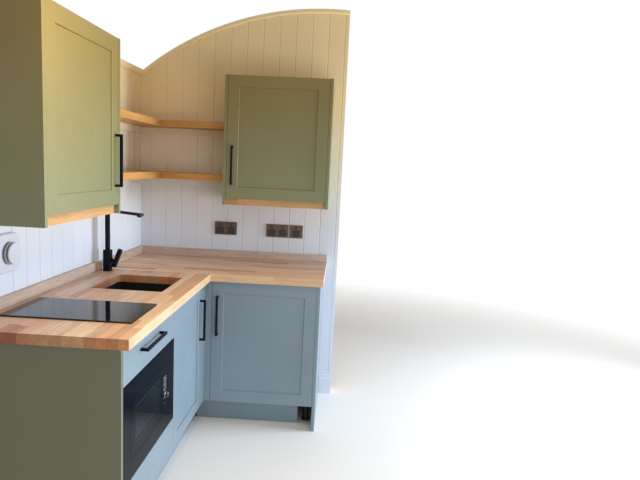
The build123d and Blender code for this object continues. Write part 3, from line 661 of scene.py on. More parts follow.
build_wall("back_wall", wall_low.y, wall_high.y, (wall_low.x, wall_high.x), BACK_FIRST_JOINT,
           back_lining_paint)
for node, lining in (("left_wall_far", RETURNED_LINING), ("left_wall_near", LINING)):
    low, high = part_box(node)
    build_wall(node, high.x, low.x, (low.y, high.y), LEFT_FIRST_JOINT, left_lining_paint, lining)

# %% [markdown]
# A short length of skirting board shows between the last base unit and the end of the back wall.
# Its section has a small rounded step near the top. The section is drawn once, from the floor up,
# and carried along x as two rings.

# %% Skirting beside the base units
SKIRTING_LEFT = 0.6335
SKIRTING_HEIGHT = 0.135
SKIRTING_DEPTH = 0.015
STEP_DOWN = 0.022
STEP_DEPTH = SKIRTING_DEPTH * 0.55
STEP_ROUNDING = 0.006
TOP_DEPTH = 0.004
TOP_ROUNDING = 0.005

rounding = np.linspace(0, np.pi / 2, 6)
lower_edge = np.column_stack([
    STEP_DEPTH + (SKIRTING_DEPTH - STEP_DEPTH) * np.cos(rounding),
    SKIRTING_HEIGHT - STEP_DOWN - STEP_ROUNDING + STEP_ROUNDING * np.sin(rounding)])
upper_edge = np.column_stack([
    TOP_DEPTH + (STEP_DEPTH - TOP_DEPTH) * np.cos(rounding),
    SKIRTING_HEIGHT - TOP_ROUNDING + TOP_ROUNDING * np.sin(rounding)])
section = np.concatenate([[[0, 0], [SKIRTING_DEPTH, 0]], lower_edge, upper_edge,
                          [[0, SKIRTING_HEIGHT]]])
skirting = stacked([
    np.column_stack([np.full(len(section), x), wall_low.y - section[:, 0], section[:, 1]])
    for x in (SKIRTING_LEFT, wall_high.x)])
make_piece("back_wall_skirting", skirting, trim_paint)
print("skirting length", round(wall_high.x - SKIRTING_LEFT, 3))

# %% [markdown]
# ## Stave wood
# The worktop is glued up from staves 40 mm wide and of random length. Each stave is its own piece
# of wood, so it needs its own tone and its own stretch of grain. The pattern counts rows across
# the staves, shifts each row by a random distance, counts lengths along it, and feeds the pair of
# counts to white noise. Grain is noise stretched along the stave and shifted by that same value.
# The oiled wood is painted golden in front, a painted light, and greyer in the strip along the
# wall, a painted shade under the wall cupboards.

# %% Stave wood finish
STAVE = 0.040
WOOD_ROUGHNESS = 0.42
# A painted shade along the wall under the cupboards, and a painted light towards the front.
SHADE_BY_THE_WALL = (0.60, 0.62, 0.76, 1.0)
LIGHT_IN_FRONT = (1.0, 0.95, 0.86, 1.0)


def stave_wood(name, tones, turn_below, length=0.42, origin=(0.0, 0.0), shade_to_light=None, cut=None):
    """Tone from white noise at (row, count). Staves run along y under the y of turn_below, and
    along x above it. A colour from the wall to the front, given as (axis, wall, front), is a
    painted shade at the wall and a painted light in front. Cut is (end, low, high): end grain
    shows under the y of end, and between low and high."""
    finish = Finish(name, tones[0], WOOD_ROUGHNESS)
    place = finish.apart()
    x = finish.math("SUBTRACT", place[0], origin[0])
    y = finish.math("SUBTRACT", place[1], origin[1])
    along_y = finish.math("LESS_THAN", place[1], turn_below)
    along_x = finish.math("SUBTRACT", 1.0, along_y)
    along = finish.plus(finish.times(x, along_x), finish.times(y, along_y))
    across = finish.plus(finish.times(y, along_x), finish.times(x, along_y))
    rows = finish.math("DIVIDE", across, STAVE)
    row = finish.math("FLOOR", rows)
    shift = finish.times(finish.random(finish.together(row, 0.0, 7.0)), length)
    lengths = finish.math("DIVIDE", finish.plus(along, shift), length)
    own = finish.random(finish.together(row, finish.math("FLOOR", lengths), 1.0))
    tone = finish.ramp(own, [(index / (len(tones) - 1), one) for index, one in enumerate(tones)])
    line = finish.together(finish.times(finish.plus(along, finish.times(own, 9.0)), 3.0),
                           finish.times(across, 60.0), finish.times(place[2], 60.0))
    grain = finish.noise(1.0, 6.0, line, 0.62)
    dark = finish.between(grain, 0.3, 0.72, 1.08, 0.76)
    pores = finish.between(finish.noise(4.0, 3.0, line, 0.7), 0.45, 0.75, 1.02, 0.82)
    to_side = finish.math("PINGPONG", rows, 0.5)
    to_end = finish.times(finish.math("PINGPONG", lengths, 0.5), length / STAVE)
    seam = finish.between(finish.math("MINIMUM", to_side, to_end), 0.0, 0.022, 0.72, 1.0)
    shade = finish.times(finish.times(dark, pores), seam)
    wood = finish.shaded(tone, shade)
    if shade_to_light:
        # A painted shade at the wall, turning into a painted light towards the front.
        axis, wall, front = shade_to_light
        toward_front = finish.between(place[axis], wall, front)
        painted_light = finish.mix(toward_front, SHADE_BY_THE_WALL, LIGHT_IN_FRONT)
        wood = finish.mix(1.0, wood, painted_light, "MULTIPLY")
    if cut:
        wood = with_end_grain(finish, wood, place, *cut)
    finish.colour(wood)
    finish.gloss(finish.between(grain, 0.3, 0.7, WOOD_ROUGHNESS - 0.06, WOOD_ROUGHNESS + 0.08))
    finish.bump(shade, 0.0002)
    return finish


print("stave", STAVE * 1000, "mm")

# %% [markdown]
# The left worktop is cut across at its near end and round the sink. Cut faces show end grain,
# which is darker and full of open ends. A worktop is one solid, so where it is cut has to be found
# by place: under one value of y, and inside a box round the sink.

# %% End grain on the cut faces
END_GRAIN = srgb(216, 188, 162)


def with_end_grain(finish, wood, place, end, low, high):
    """Wood times a darker noise where y < end, or where low < place < high on all three axes."""
    inside = 1.0
    for axis in range(3):
        inside = finish.times(inside, finish.math("GREATER_THAN", place[axis], low[axis]))
        inside = finish.times(inside, finish.math("LESS_THAN", place[axis], high[axis]))
    on_end = finish.math("MAXIMUM", finish.math("LESS_THAN", place[1], end), inside)
    open_ends = finish.between(finish.noise(420, 2.0), 0.35, 0.65, 0.8, 1.05)
    darker = finish.mix(1.0, wood, finish.shaded(END_GRAIN, open_ends), "MULTIPLY")
    return finish.mix(on_end, wood, darker)


print("end grain red", round(END_GRAIN[0], 3))

# %% [markdown]
# The two worktops share their tones, but their staves run different ways. Shelves, upstands and
# the boards under the wall cupboards are one node each, with a part along either wall. There the
# staves turn where the part along the left wall ends.

# %% Worktops, upstands and shelves
ALWAYS, NEVER = 9.0, -9.0
BACK_STAVES_FROM = 0.251
LEFT_STAVES_FROM = 0.0125
UPSTAND_TURN, SHELF_TURN, BOARD_TURN = 0.8365, 0.6595, 0.2
CUT_MARGIN = 0.0005
TOP_MARGIN = 0.0008
WORKTOP_TONES = [srgb(238, 182, 142), srgb(252, 222, 188), srgb(248, 198, 158),
                 srgb(255, 234, 204), srgb(202, 142, 106)]
UPSTAND_TONES = [srgb(194, 174, 161), srgb(204, 184, 172), srgb(184, 164, 151)]
SHELF_TONES = [srgb(186, 130, 66), srgb(210, 156, 90), srgb(198, 142, 76), srgb(218, 170, 105)]
BOARD_TONES = [srgb(176, 130, 76), srgb(200, 156, 104), srgb(188, 142, 88), srgb(208, 168, 118)]

left_low, left_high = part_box("left_worktop")
back_low, back_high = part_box("back_worktop")
bowl_low, bowl_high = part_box("sink_bowl")
under_top = left_high.z - TOP_MARGIN
round_sink = ((bowl_low.x, bowl_low.y, 0.0), (bowl_high.x, bowl_high.y, under_top))
back_wood = stave_wood("stave wood along x", WORKTOP_TONES, NEVER, origin=(0.0, BACK_STAVES_FROM),
                       shade_to_light=(1, back_high.y, back_low.y))
left_wood = stave_wood("stave wood along y", WORKTOP_TONES, ALWAYS, origin=(LEFT_STAVES_FROM, 0.0),
                       shade_to_light=(0, left_low.x, left_high.x),
                       cut=(left_low.y + CUT_MARGIN, *round_sink))
upstand_wood = stave_wood("stave wood on upstands", UPSTAND_TONES, UPSTAND_TURN, 0.9)
shelf_wood = stave_wood("stave wood on shelves", SHELF_TONES, SHELF_TURN, 0.6)
board_wood = stave_wood("stave wood under wall cupboards", BOARD_TONES, BOARD_TURN, 0.6)
wooden = dress(back_wood, "back_worktop") + dress(left_wood, "left_worktop")
wooden += dress(upstand_wood, "upstands") + dress(shelf_wood, "corner_shelves")
wooden += dress(board_wood, "wall_unit_oak_boards")
print("wooden nodes", wooden)

# %% [markdown]
# ## Metal, glass and plastic
# The handles and the tap are powder coated: black, nearly matt, with a very fine grain. Hob and
# oven are black glass, which is smooth enough to mirror what is round it but never perfectly
# clean. The sink is a black stone composite with pale specks.

# %% Black finishes
powder_coat = Finish("black powder coat", srgb(8, 13, 28), 0.42, specular=0.12)
powder_coat.uneven_gloss(60, 2.0, 0.36, 0.48)
powder_coat.grain(2600, 0.00004)
black = dress(powder_coat, "corner_door_handle", "back_door_handle", "left_wall_door_handle",
              "back_wall_door_handle", "drawer_handle", "tap_body", "tap_spout", "tap_stem",
              "tap_lever")

hob_glass = Finish("black hob glass", srgb(12, 13, 16), 0.06, ior=1.5)
hob_glass.uneven_gloss(7, 3.0, 0.04, 0.09, low=0.4)
oven_glass = Finish("black oven glass", srgb(7, 12, 24), 0.1, specular=0.05)
oven_glass.uneven_gloss(7, 3.0, 0.08, 0.14, low=0.4)
black += dress(hob_glass, "hob_plate")
black += dress(oven_glass, "microwave_door", "microwave_trim", "microwave_controls")

stone = Finish("black stone composite", srgb(14, 14, 15), 0.55, specular=0.3)
speck = stone.between(stone.noise(700, 1.0), 0.62, 0.7)
stone.colour(stone.mix(speck, srgb(12, 12, 13), srgb(52, 51, 50)))
stone.grain(500, 0.0001, 2.0)
black_case = Finish("black enamelled steel", srgb(30, 30, 32), 0.35)
black_case.grain(900, 0.00004)
black += dress(stone, "sink_bowl") + dress(black_case, "hob_box", "microwave_case")
print("black nodes", black)

# %% [markdown]
# The oven's window is smoked glass, which lets a little light through. The insides of the cupboards
# are white board with a printed texture almost too fine to see. The fan and the sink's trap are
# moulded plastic, and the socket plates are brushed bronze.

# %% Smoked glass, board, white plastic and bronze
BOARD_WHITE = srgb(214, 211, 204)

smoked_glass = Finish("smoked glass", srgb(14, 18, 26), 0.05, transmission=0.3, specular=0.05,
                      ior=1.5)
smoked_glass.uneven_gloss(9, 2.0, 0.04, 0.08, low=0.4)
melamine = Finish("white cabinet board", BOARD_WHITE, 0.5)
faint = melamine.between(melamine.noise(400, 2.0), 0.3, 0.7, 0.97, 1.0)
melamine.colour(melamine.shaded(BOARD_WHITE, faint))
melamine.grain(700, 0.00005)
white_plastic = Finish("white moulded plastic", srgb(202, 205, 215), 0.35)
white_plastic.uneven_gloss(30, 2.0, 0.3, 0.4)
white_plastic.grain(1200, 0.00003)
bronze = Finish("dark bronze plate", srgb(98, 78, 68), 0.38, metallic=0.7)
streaks = bronze.noise(60, 3.0, bronze.stretched(12.0, 1.0, 1.0))
bronze.gloss(bronze.between(streaks, 0.3, 0.7, 0.3, 0.46))
dress(smoked_glass, "microwave_window")
dress(white_plastic, "fan_cover", "fan_cap", "sink_trap")
dress(bronze, "socket_plates")
print("board nodes", dress(
    melamine, "base_unit_sides", "cabinet_boards", "base_unit_backs", "wall_unit_backs",
    "cabinet_shelves", "corner_blind_panel", "drawer_sides", "drawer_back_board",
    "drawer_floor_board"))

# %% [markdown]
# ## Hinges
# Each cupboard door hangs on two concealed hinges. The cup is let into the back of the door, with a
# flat wing on each side of it for its screws, and stands under half a millimetre proud. The arm
# clips on a plate that is screwed to the cabinet's side. The cup rides with the door and the arm
# stays with the cabinet, so an open door shows both.

# %% Steel, and the shapes of one hinge
steel = Finish("brushed steel", srgb(176, 176, 174), 0.3, metallic=1.0)
brushing = steel.noise(40, 3.0, steel.stretched(1.0, 30.0, 30.0))
steel.gloss(steel.between(brushing, 0.3, 0.7, 0.22, 0.4))
steel.bump(brushing, 0.00003)
dress(steel, "sink_waste", "drawer_runners")

PROUD = 0.0004
CUP_RADIUS = 0.0175
CUP_FROM_EDGE = 0.0225
WING = (0.016, 0.064, 0.006)
ARM = (0.062, 0.013, 0.004)
BASE = (0.030, 0.052, 0.007)
BASE_TOP = 0.0026
ARM_ALONG, BASE_ALONG = 0.034, 0.037
SCREW = [(0.0038, 0), (0.0038, 0.0008), (0.0028, 0.0016), (0.0012, 0.0017), (0.0008, 0.0006)]
SCREW_FROM_MIDDLE = 0.019


def hinge_cup():
    """A wing plate under a ring whose middle dishes in."""
    ring = [(CUP_RADIUS, 0), (CUP_RADIUS, PROUD), (CUP_RADIUS - 0.0022, PROUD),
            (CUP_RADIUS - 0.003, PROUD / 4)]
    return [plate(*WING, (0, PROUD * 0.7), (0.0006, PROUD * 0.8)), turned(ring, 40)]


def hinge_arm():
    """A plate, an arm with eased edges on it, and two screws; local x runs from front to back."""
    arm = plate(*ARM, (0, 0.009), (0.0015, 0.0115), (0.003, 0.012))
    base = plate(*BASE, (0, 0.002), (0.0006, BASE_TOP))
    screws = [shifted(turned(SCREW, 12), BASE_ALONG, side * SCREW_FROM_MIDDLE, BASE_TOP)
              for side in (-1, 1)]
    return [shifted(arm, ARM_ALONG, 0, 0), shifted(base, BASE_ALONG, 0, 0), *screws]


print("cup across", CUP_RADIUS * 2000, "mm")

# %% [markdown]
# A door hangs on the edge nearest to the end of its run. The doors of the wall cupboards sit
# between the side boards, and those of the base units lie in front of them. The arm is fixed to
# the face of the side board that looks into the cupboard, so its place differs between the two.

# %% Hang the doors
HINGE_FROM_END = 0.1
SIDE_BOARD = 0.018
DOOR_GAP = 0.0015
BEHIND_DOOR = 0.002
ARM_ON_RIGHT_SIDE = ((0, 1, 0), (0, 0, 1), (-1, 0, 0))


def hang(door, facing, between_sides):
    """Two hinges on the door's hinge edge, which is the near edge or the right one."""
    low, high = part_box(door)
    inwards = -DOOR_GAP if between_sides else SIDE_BOARD - DOOR_GAP
    cups, arms = [], []
    for height in (low.z + HINGE_FROM_END, high.z - HINGE_FROM_END):
        if facing == "right":
            cup_place, cup_axes = (low.x, low.y + CUP_FROM_EDGE, height), FACING_LEFT
            arm_place, arm_axes = (low.x - BEHIND_DOOR, low.y + inwards, height), FACING_BACK
        else:
            cup_place, cup_axes = (high.x - CUP_FROM_EDGE, high.y, height), FACING_BACK
            arm_place = (high.x - inwards, high.y + BEHIND_DOOR, height)
            arm_axes = ARM_ON_RIGHT_SIDE
        cups.append(set_on(hinge_cup(), cup_place, cup_axes))
        arms.append(set_on(hinge_arm(), arm_place, arm_axes))
    make_piece(f"{door}_hinge_cups", joined(cups), steel, door)
    make_piece(f"{door}_hinge_arms", joined(arms), steel)
    return len(cups)


hinges = hang("corner_door", "right", False) + hang("back_door", "back", False)
hinges += hang("left_wall_door", "right", True) + hang("back_wall_door", "back", True)
print("hinges", hinges)

# %% [markdown]
# The shelves in the cupboards rest on short steel pins, each with a collar against the side board.
# Four pins carry a shelf. The pin is turned, then laid on its side. A cupboard is measured from
# the two walls, which is easier to check than plain x and y.

# %% Pins under the cupboard shelves
PIN = [(0.006, 0), (0.006, 0.0012), (0.0026, 0.0016), (0.0026, 0.009), (0.0021, 0.0096)]
PIN_DROP = 0.0061
BASE_SHELF = 0.5
WALL_SHELF = 1.69
# Left side, right side, the two distances from the back, and the shelf's height
BACK_CUPBOARDS = [(0.640, 1.204, (0.44, 0.07), BASE_SHELF),
                  (0.634, 1.234, (0.23, 0.05), WALL_SHELF)]
LEFT_CUPBOARD_NEAR, LEFT_CUPBOARD_FAR = 1.766, 1.166


def from_left(distance):
    return LEFT_WALL_X + distance


def from_back(distance):
    return BACK_WALL_Y - distance


spots = []
for left, right, depths, shelf in BACK_CUPBOARDS:
    for depth in depths:
        spots += [(left, depth, shelf, FACING_RIGHT), (right, depth, shelf, FACING_LEFT)]
for depth in (0.02, 0.22):
    spots += [(depth, LEFT_CUPBOARD_NEAR, WALL_SHELF, FACING_BACK),
              (depth, LEFT_CUPBOARD_FAR, WALL_SHELF, FACING_FRONT)]
pins = [placed(turned(PIN, 16), (from_left(x), from_back(y), shelf - PIN_DROP), facing)
        for x, y, shelf, facing in spots]
make_piece("shelf_pins", joined(pins), steel)
print("pins", len(pins))

# %% [markdown]
# ## Sockets
# Two double sockets and a single one are dark bronze plates. Each outlet has a black insert with
# three slots and a black rocker above it. The slots are near-black plates on the insert, a painted
# shade where the holes would be. A rocker is a plate whose top ring is tilted: its lift grows with
# height, so one end stands out.

# %% Parts of one outlet
black_plastic = Finish("black moulded plastic", srgb(34, 34, 35), 0.5)
black_plastic.grain(1500, 0.00008)
# Near black for the slots and under the strainer: a painted shade of hollows.
hole_shade = Finish("painted shade in holes", srgb(5, 5, 6), 0.9)
hole_shade.grain(900, 0.00002)
dress(black_plastic, "cabinet_legs", "microwave_knob")

INSERT_TOP = 0.0008
SLOT_DEPTH = 0.0002
ROCKER_HEIGHT = 0.019
ROCKER_TILT = 0.12
INSERT_RISE, EARTH_RISE, LIVE_RISE, ROCKER_RISE = -0.012, -0.001, -0.0232, 0.0235
LIVE_FROM_MIDDLE = 0.0111


def rocker():
    """A small plate; its face rises by tilt * height above the low end, so it leans."""
    vertices, faces = plate(0.011, ROCKER_HEIGHT, 0.0015, (0, 0.0015), (0.0008, 0.0022))
    lean = ROCKER_TILT * (vertices[:, 1] + ROCKER_HEIGHT / 2)
    vertices[:, 2] += np.where(vertices[:, 2] > 0, lean, 0)
    return vertices, faces


insert = shifted(plate(0.050, 0.044, 0.004, (0, 0.0004), (0.0005, INSERT_TOP)), 0, INSERT_RISE, 0)
earth = shifted(plate(0.0044, 0.0085, 0.0006, (0, SLOT_DEPTH)), 0, EARTH_RISE, INSERT_TOP)
live = plate(0.0068, 0.0044, 0.0006, (0, SLOT_DEPTH))
pair = [shifted(live, side * LIVE_FROM_MIDDLE, LIVE_RISE, INSERT_TOP) for side in (-1, 1)]
OUTLET_PARTS = {
    "socket_inserts": ([insert], black_plastic),
    "socket_slots": ([earth, *pair], hole_shade),
    "socket_rockers": ([shifted(rocker(), 0, ROCKER_RISE, 0)], black_plastic),
}
print("slots in an outlet", len(OUTLET_PARTS["socket_slots"][0]))

# %% [markdown]
# The plates are one node, so its box gives the two ends of the row. A double plate stands at its
# left end. At its right end are a double and a single plate side by side. The same parts go on
# every outlet, and each kind becomes one piece.

# %% Inserts, slots and rockers
DOUBLE_PLATE = 0.146
SINGLE_PLATE = 0.086
PLATE_GAP = 0.010
OUTLET_SPREAD = 0.0365

plates_low, plates_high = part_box("socket_plates")
doubles = (plates_low.x + DOUBLE_PLATE / 2,
           plates_high.x - SINGLE_PLATE - PLATE_GAP - DOUBLE_PLATE / 2)
outlets = [double + side * OUTLET_SPREAD for double in doubles for side in (-1, 1)]
outlets.append(plates_high.x - SINGLE_PLATE / 2)
plate_middle = middle(plates_low, plates_high)[2]
for name, (parts, finish) in OUTLET_PARTS.items():
    everywhere = [set_on(parts, (outlet, plates_low.y, plate_middle), FACING_FRONT)
                  for outlet in outlets]
    make_piece(name, joined(everywhere), finish)
print("outlets", len(outlets))

# %% [markdown]
# ## Oven details
# The oven has a control strip with two columns of small pale marks over a turned knob. The marks
# are generic: bars, dots and rings, raised a tenth of a millimetre like screen printing. They are
# real geometry, because a mark this small would blur as a pattern on the strip.

# %% Marks on the control strip
PRINT = 0.0001
MARK_BOTTOM, MARK_STEP, MARK_ROWS = 0.518, 0.0095, 7
LEFT_COLUMN, RIGHT_COLUMN = -0.012, 0.011
UNDERLINE_DROP = 0.0048
DIAL_RADIUS, DIAL_START, DIAL_STEP, DIAL_DOTS = 0.021, -150, 30, 11
LONE_BAR = (-0.004, 0.452, 0)


def screen_print(name, colour):
    finish = Finish(name, colour, 0.5)
    finish.uneven_gloss(500, 1.0, 0.4, 0.6)
    return finish


def bar_mark(width, height):
    return plate(width, height, 0.0004, (0, PRINT))


print_white = screen_print("pale screen print", srgb(226, 233, 242))
strip_low, strip_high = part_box("microwave_controls")
strip_face = (strip_high.x, middle(strip_low, strip_high)[1], 0)
knob_low, knob_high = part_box("microwave_knob")
knob_centre = middle(knob_low, knob_high)[1:]
left_marks = (ring_band(0.0038, 0.0011, PRINT, 20), bar_mark(0.0078, 0.0018),
              bar_mark(0.0022, 0.0066))
right_marks = (bar_mark(0.0086, 0.0018), ring_band(0.0031, 0.0012, PRINT, 20),
               bar_mark(0.0056, 0.0040))
underline = bar_mark(0.0042, 0.0008)
marks = []
for row in range(MARK_ROWS):
    height = MARK_BOTTOM + row * MARK_STEP
    marks.append(shifted(left_marks[row % 3], LEFT_COLUMN, height, 0))
    marks.append(shifted(right_marks[row % 3], RIGHT_COLUMN, height, 0))
    if row % 2:
        marks.append(shifted(underline, LEFT_COLUMN, height - UNDERLINE_DROP, 0))
dot = turned([(0.0009, 0), (0.0009, PRINT)], 10)
for angle in np.radians(DIAL_START + DIAL_STEP * np.arange(DIAL_DOTS)):
    across = DIAL_RADIUS * np.sin(angle) + knob_centre[0] - strip_face[1]
    marks.append(shifted(dot, across, DIAL_RADIUS * np.cos(angle) + knob_centre[1], 0))
marks.append(shifted(bar_mark(0.009, 0.0012), *LONE_BAR))
make_piece("oven_marks", set_on(marks, strip_face, FACING_RIGHT), print_white)
print("marks", len(marks))

# %% [markdown]
# The knob's dark cap is a CAD node. A bright steel ring is turned round its foot, and a pale
# pointer lies on its face. Both ride on the knob, so they turn with it past the dots.

# %% Ring and pointer of the knob
KNOB_RADIUS = 0.0131
RING_RADIUS = 0.0158
POINTER_RISE = 0.0062

knob_ring = turned([(KNOB_RADIUS, 0.0031), (KNOB_RADIUS, 0.0045), (KNOB_RADIUS + 0.0011, 0.0050),
                    (RING_RADIUS - 0.0006, 0.0042), (RING_RADIUS, 0.0031)], 40)
pointer = shifted(plate(0.0016, 0.009, 0.0007, (0, 0.0003), (0.0003, 0.0005)), 0, POINTER_RISE, 0)
make_piece("knob_ring", placed(knob_ring, (knob_low.x, *knob_centre), FACING_RIGHT), steel,
           "microwave_knob", smooth=True)
make_piece("knob_pointer", placed(pointer, (knob_high.x, *knob_centre), FACING_RIGHT),
           print_white, "microwave_knob")
print("knob across", round(knob_high.y - knob_low.y, 4))

# %% [markdown]
# A thin dim line is printed on the oven's door round its window. Four bars that overlap at the
# corners make it, each placed from the window's own box.

# %% Printed line round the window
LINE_GAP = 0.010
LINE_WIDTH = 0.0012

window_low, window_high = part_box("microwave_window")
door_face = (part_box("microwave_door")[1].x, *middle(window_low, window_high)[1:])
half_width = (window_high.y - window_low.y) / 2 + LINE_GAP
half_height = (window_high.z - window_low.z) / 2 + LINE_GAP
level_bar = bar_mark(2 * half_width + LINE_WIDTH, LINE_WIDTH)
upright_bar = bar_mark(LINE_WIDTH, 2 * half_height + LINE_WIDTH)
line = [shifted(level_bar, 0, side * half_height, 0) for side in (-1, 1)]
line += [shifted(upright_bar, side * half_width, 0, 0) for side in (-1, 1)]
grey_print = screen_print("dim screen print", srgb(58, 66, 80))
make_piece("window_line", set_on(line, door_face, FACING_RIGHT), grey_print,
           "microwave_door")
print("line bars", len(line))

# %% [markdown]
# A glass turntable stands in the oven's cavity on a turned foot. It is a shallow dish, so it is
# turned too: the profile goes out under the dish, over its rim and back in on top.

# %% Turntable in the oven
TABLE_RADIUS = 0.125
CAVITY_FLOOR = (from_left(0.396), from_back(1.50175), 0.415)
FOOT_LIFT, TABLE_LIFT = 0.0003, 0.0105

clear_glass = Finish("pressed clear glass", srgb(222, 234, 232), 0.08, transmission=0.85)
clear_glass.grain(120, 0.0001)
turntable = turned([(TABLE_RADIUS - 0.02, 0), (TABLE_RADIUS - 0.004, 0.002),
                    (TABLE_RADIUS, 0.010), (TABLE_RADIUS - 0.003, 0.010),
                    (TABLE_RADIUS - 0.007, 0.006), (TABLE_RADIUS - 0.02, 0.005)], 64)
table_foot = turned([(0.014, 0), (0.012, 0.009), (0.010, 0.0095)], 24)
make_piece("turntable", placed(turntable, CAVITY_FLOOR, UPWARDS, (0, 0, TABLE_LIFT)), clear_glass,
           smooth=True)
make_piece("turntable_foot", placed(table_foot, CAVITY_FLOOR, UPWARDS, (0, 0, FOOT_LIFT)),
           black_plastic)
print("turntable across", TABLE_RADIUS * 2)

# %% [markdown]
# ## Sink details
# The bowl is a black one. Its waste has a steel strainer basket with slots round a centre stud. A
# slotted disc is a ring of separate spokes between two rims, so light really falls through it on
# the black disc below. That disc is a painted shade of the waste's hollow.

# %% Strainer in the waste
STRAINER_RADIUS = 0.030
SPOKES, SPOKE_INNER, SPOKE_OUTER, SPOKE_WIDTH = 16, 0.0105, 0.0265, 0.0030
SHADOW_LIFT, BASKET_LIFT = 0.0001, 0.0004


def round_the_middle(solid, radius, count):
    """Copies moved out to the radius and turned: x cos a - y sin a, x sin a + y cos a."""
    vertices, faces = shifted(solid, radius, 0, 0)
    copies = []
    for angle in np.linspace(0, 2 * np.pi, count, endpoint=False):
        cosine, sine = np.cos(angle), np.sin(angle)
        turn = np.array([[cosine, sine, 0], [-sine, cosine, 0], [0, 0, 1]])
        copies.append((vertices @ turn, faces))
    return copies


waste_low, waste_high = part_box("sink_waste")
waste_middle = (*middle(waste_low, waste_high)[:2], waste_high.z)
spoke = plate(SPOKE_OUTER - SPOKE_INNER, SPOKE_WIDTH, SPOKE_WIDTH / 2.2, (0, 0.0009),
              (0.0002, 0.0011))
stud = turned([(0.0062, 0), (0.0062, 0.004), (0.0050, 0.0066), (0.0026, 0.0074)], 24)
basket = [ring_band(STRAINER_RADIUS, 0.0045, 0.0012), ring_band(0.0115, 0.0040, 0.0012),
          *round_the_middle(spoke, (SPOKE_INNER + SPOKE_OUTER) / 2, SPOKES), stud]
# A near-black disc under the basket: a painted shade of the hollow below.
shadow = [turned([(STRAINER_RADIUS - 0.001, 0), (STRAINER_RADIUS - 0.001, 0.0003)], 40)]
for name, parts, lift, finish, slot in (
        ("sink_strainer", basket, BASKET_LIFT, steel, "steel"),
        ("sink_strainer_shadow", shadow, SHADOW_LIFT, hole_shade, "black_composite")):
    make_piece(name, set_on(parts, waste_middle, UPWARDS, (0, 0, lift)), finish)
print("spokes", SPOKES)

# %% [markdown]
# A slotted cover hides the overflow on the near wall of the bowl. Under the bowl, the trap hangs
# on a knurled nut and its cup is a knurled ring. A knurl is a wave in the radius. Clipping the
# wave gives the teeth flat tops.

# %% Overflow and trap nuts
FLANGE_AND_WALL = 0.024
OVERFLOW_DROP = 0.038
COVER_PROUD = 0.0002
BAR_STEP = 0.008
TRAP_NUT_RADIUS, TRAP_NUT_HEIGHT = 0.026, 0.016
CUP_NUT_RADIUS, CUP_NUT_HEIGHT, CUP_NUT_RISE = 0.0305, 0.018, 0.014
KNURL_DEPTH = 0.0016
NUT_EASE = 0.0015

cover_place = (waste_middle[0], bowl_low.y + FLANGE_AND_WALL, bowl_high.z - OVERFLOW_DROP)
cover_bar = plate(0.029, 0.0036, 0.0015, (0, 0.0012), (0.0003, 0.0014))
cover = [ring_band(0.0165, 0.0030, 0.0014)]
cover += [shifted(cover_bar, 0, step * BAR_STEP, 0) for step in (0, -1, 1)]
make_piece("sink_overflow", set_on(cover, cover_place, FACING_BACK, (0, 0, COVER_PROUD)), steel)


def knurled_nut(radius, height, teeth):
    """Radius + depth * (a clipped tooth wave) round each ring, with the ends drawn in."""
    points = 4 * teeth
    wave = np.cos(teeth * np.linspace(0, 2 * np.pi, points, endpoint=False))
    edge = radius + KNURL_DEPTH * np.clip(1.6 * wave, -0.6, 1)
    levels = [(0.0, 0.93), (NUT_EASE, 1.0), (height - NUT_EASE, 1.0), (height, 0.93)]
    return stacked([circle(scale * edge, lift, points) for lift, scale in levels])


trap_low, trap_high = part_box("sink_trap")
nuts = [shifted(knurled_nut(TRAP_NUT_RADIUS, TRAP_NUT_HEIGHT, 24),
                *waste_middle[:2], trap_high.z - TRAP_NUT_HEIGHT),
        shifted(knurled_nut(CUP_NUT_RADIUS, CUP_NUT_HEIGHT, 32),
                *waste_middle[:2], trap_low.z + CUP_NUT_RISE)]
make_piece("trap_nuts", joined(nuts), white_plastic)
print("nuts", len(nuts))

# %% [markdown]
# ## Tap mouth
# Water leaves through a small aerator under the end of the spout. It is a threaded ring with a
# cross of thin bars, which turns with the spout.

# %% Aerator under the spout
AERATOR_X, AERATOR_Y = -0.3196, 0.0565
AERATOR_RADIUS = 0.0085
AERATOR_LIFT = -0.0004
BAR_SIZE = (0.0145, 0.0011)
BARS_AT = (-0.0042, -0.0014, 0.0014, 0.0042)

aerator_place = (AERATOR_X, AERATOR_Y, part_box("tap_spout")[0].z)
aerator = [ring_band(AERATOR_RADIUS, 0.0016, 0.0009)]
aerator += [shifted(plate(*BAR_SIZE, 0.0004, (0, 0.0007)), 0, offset, 0) for offset in BARS_AT]
aerator.append(plate(*BAR_SIZE[::-1], 0.0004, (0, 0.0006)))
make_piece("tap_aerator", set_on(aerator, aerator_place, DOWNWARDS, (0, 0, AERATOR_LIFT)), steel,
           "tap_spout")
print("aerator across", AERATOR_RADIUS * 2)

# %% [markdown]
# ## Fan details
# The cap of the wall fan stands off its plate on a neck. Air passes through the gap, where thin
# fins cross from the neck to the rim, in front of a hollow. The neck is painted near black inside
# the ring of fins, a painted shade of that hollow, and pale outside it. The fins are one plate
# repeated round the axis, in two rows.

# %% Painted shade of the hollow, and fins behind the cap
FINS, FIN_INNER, FIN_OUTER = 40, 0.0402, 0.0445
FIN_ROWS = (0.0012, 0.0115)

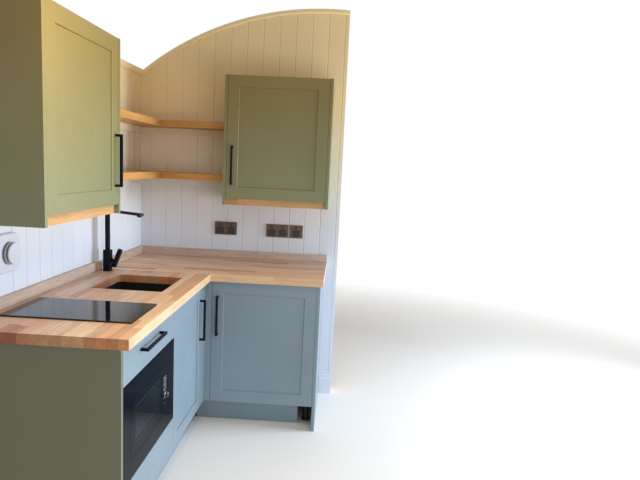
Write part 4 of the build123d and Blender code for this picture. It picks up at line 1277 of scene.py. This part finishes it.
fan_low, fan_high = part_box("fan_neck")
fan_axis = middle(fan_low, fan_high)[1:]
fin = plate(FIN_OUTER - FIN_INNER, 0.0012, 0.0005, (0, 0.006))
fins = [copy for lift in FIN_ROWS
        for copy in round_the_middle(shifted(fin, 0, 0, lift), (FIN_INNER + FIN_OUTER) / 2, FINS)]
make_piece("fan_fins", set_on(fins, (fan_low.x, *fan_axis), FACING_RIGHT), white_plastic)
neck_plastic = Finish("fan neck plastic", srgb(150, 152, 158), 0.4)
from_axis = neck_plastic.away((0.0, *fan_axis), 0.0, 1.0, 1.0)
on_ring = neck_plastic.math("GREATER_THAN", from_axis, FIN_INNER)
# Near black inside the fins: a painted shade of the hollow.
neck_plastic.colour(neck_plastic.mix(on_ring, srgb(40, 41, 46), srgb(196, 199, 208)))
neck_plastic.grain(1200, 0.00003)
dress(neck_plastic, "fan_neck")
print("fins", len(fins))

# %% [markdown]
# ## Floor
# The stage is a plain pale floor, which isn't part of the kitchenette. It only carries the shadow.
# Far from the object it fades into the white backdrop, by mixing in a transparent shader.

# %% Pale floor
FADE_START, FADE_END = 2.6, 4.6
FLOOR_REACH = 9.0

floor_finish = Finish("pale floor", srgb(236, 235, 232), 0.7)
floor_finish.grain(60, 0.0001, 2.0)
distance = floor_finish.away((0.0, 0.0, 0.0), 1.0, 1.0, 1.0)
faded = floor_finish.between(distance, FADE_START, FADE_END)
clear = floor_finish.add("BsdfTransparent").outputs[0]
surface = floor_finish.add("MixShader", faded, floor_finish.shader.outputs[0], clear).outputs[0]
floor_finish.feed(floor_finish.nodes["Material Output"].inputs["Surface"], surface)
floor_mesh = bpy.data.meshes.new("floor")
corners = FLOOR_REACH * np.array([[-1, -1, 0], [1, -1, 0], [1, 1, 0], [-1, 1, 0]])
floor_mesh.from_pydata(corners.tolist(), [], [(0, 1, 2, 3)])
floor_mesh.materials.append(floor_finish.material)
floor = bpy.data.objects.new("floor", floor_mesh)
bpy.context.scene.collection.objects.link(floor)
print("floor", 2 * FLOOR_REACH, "m across")
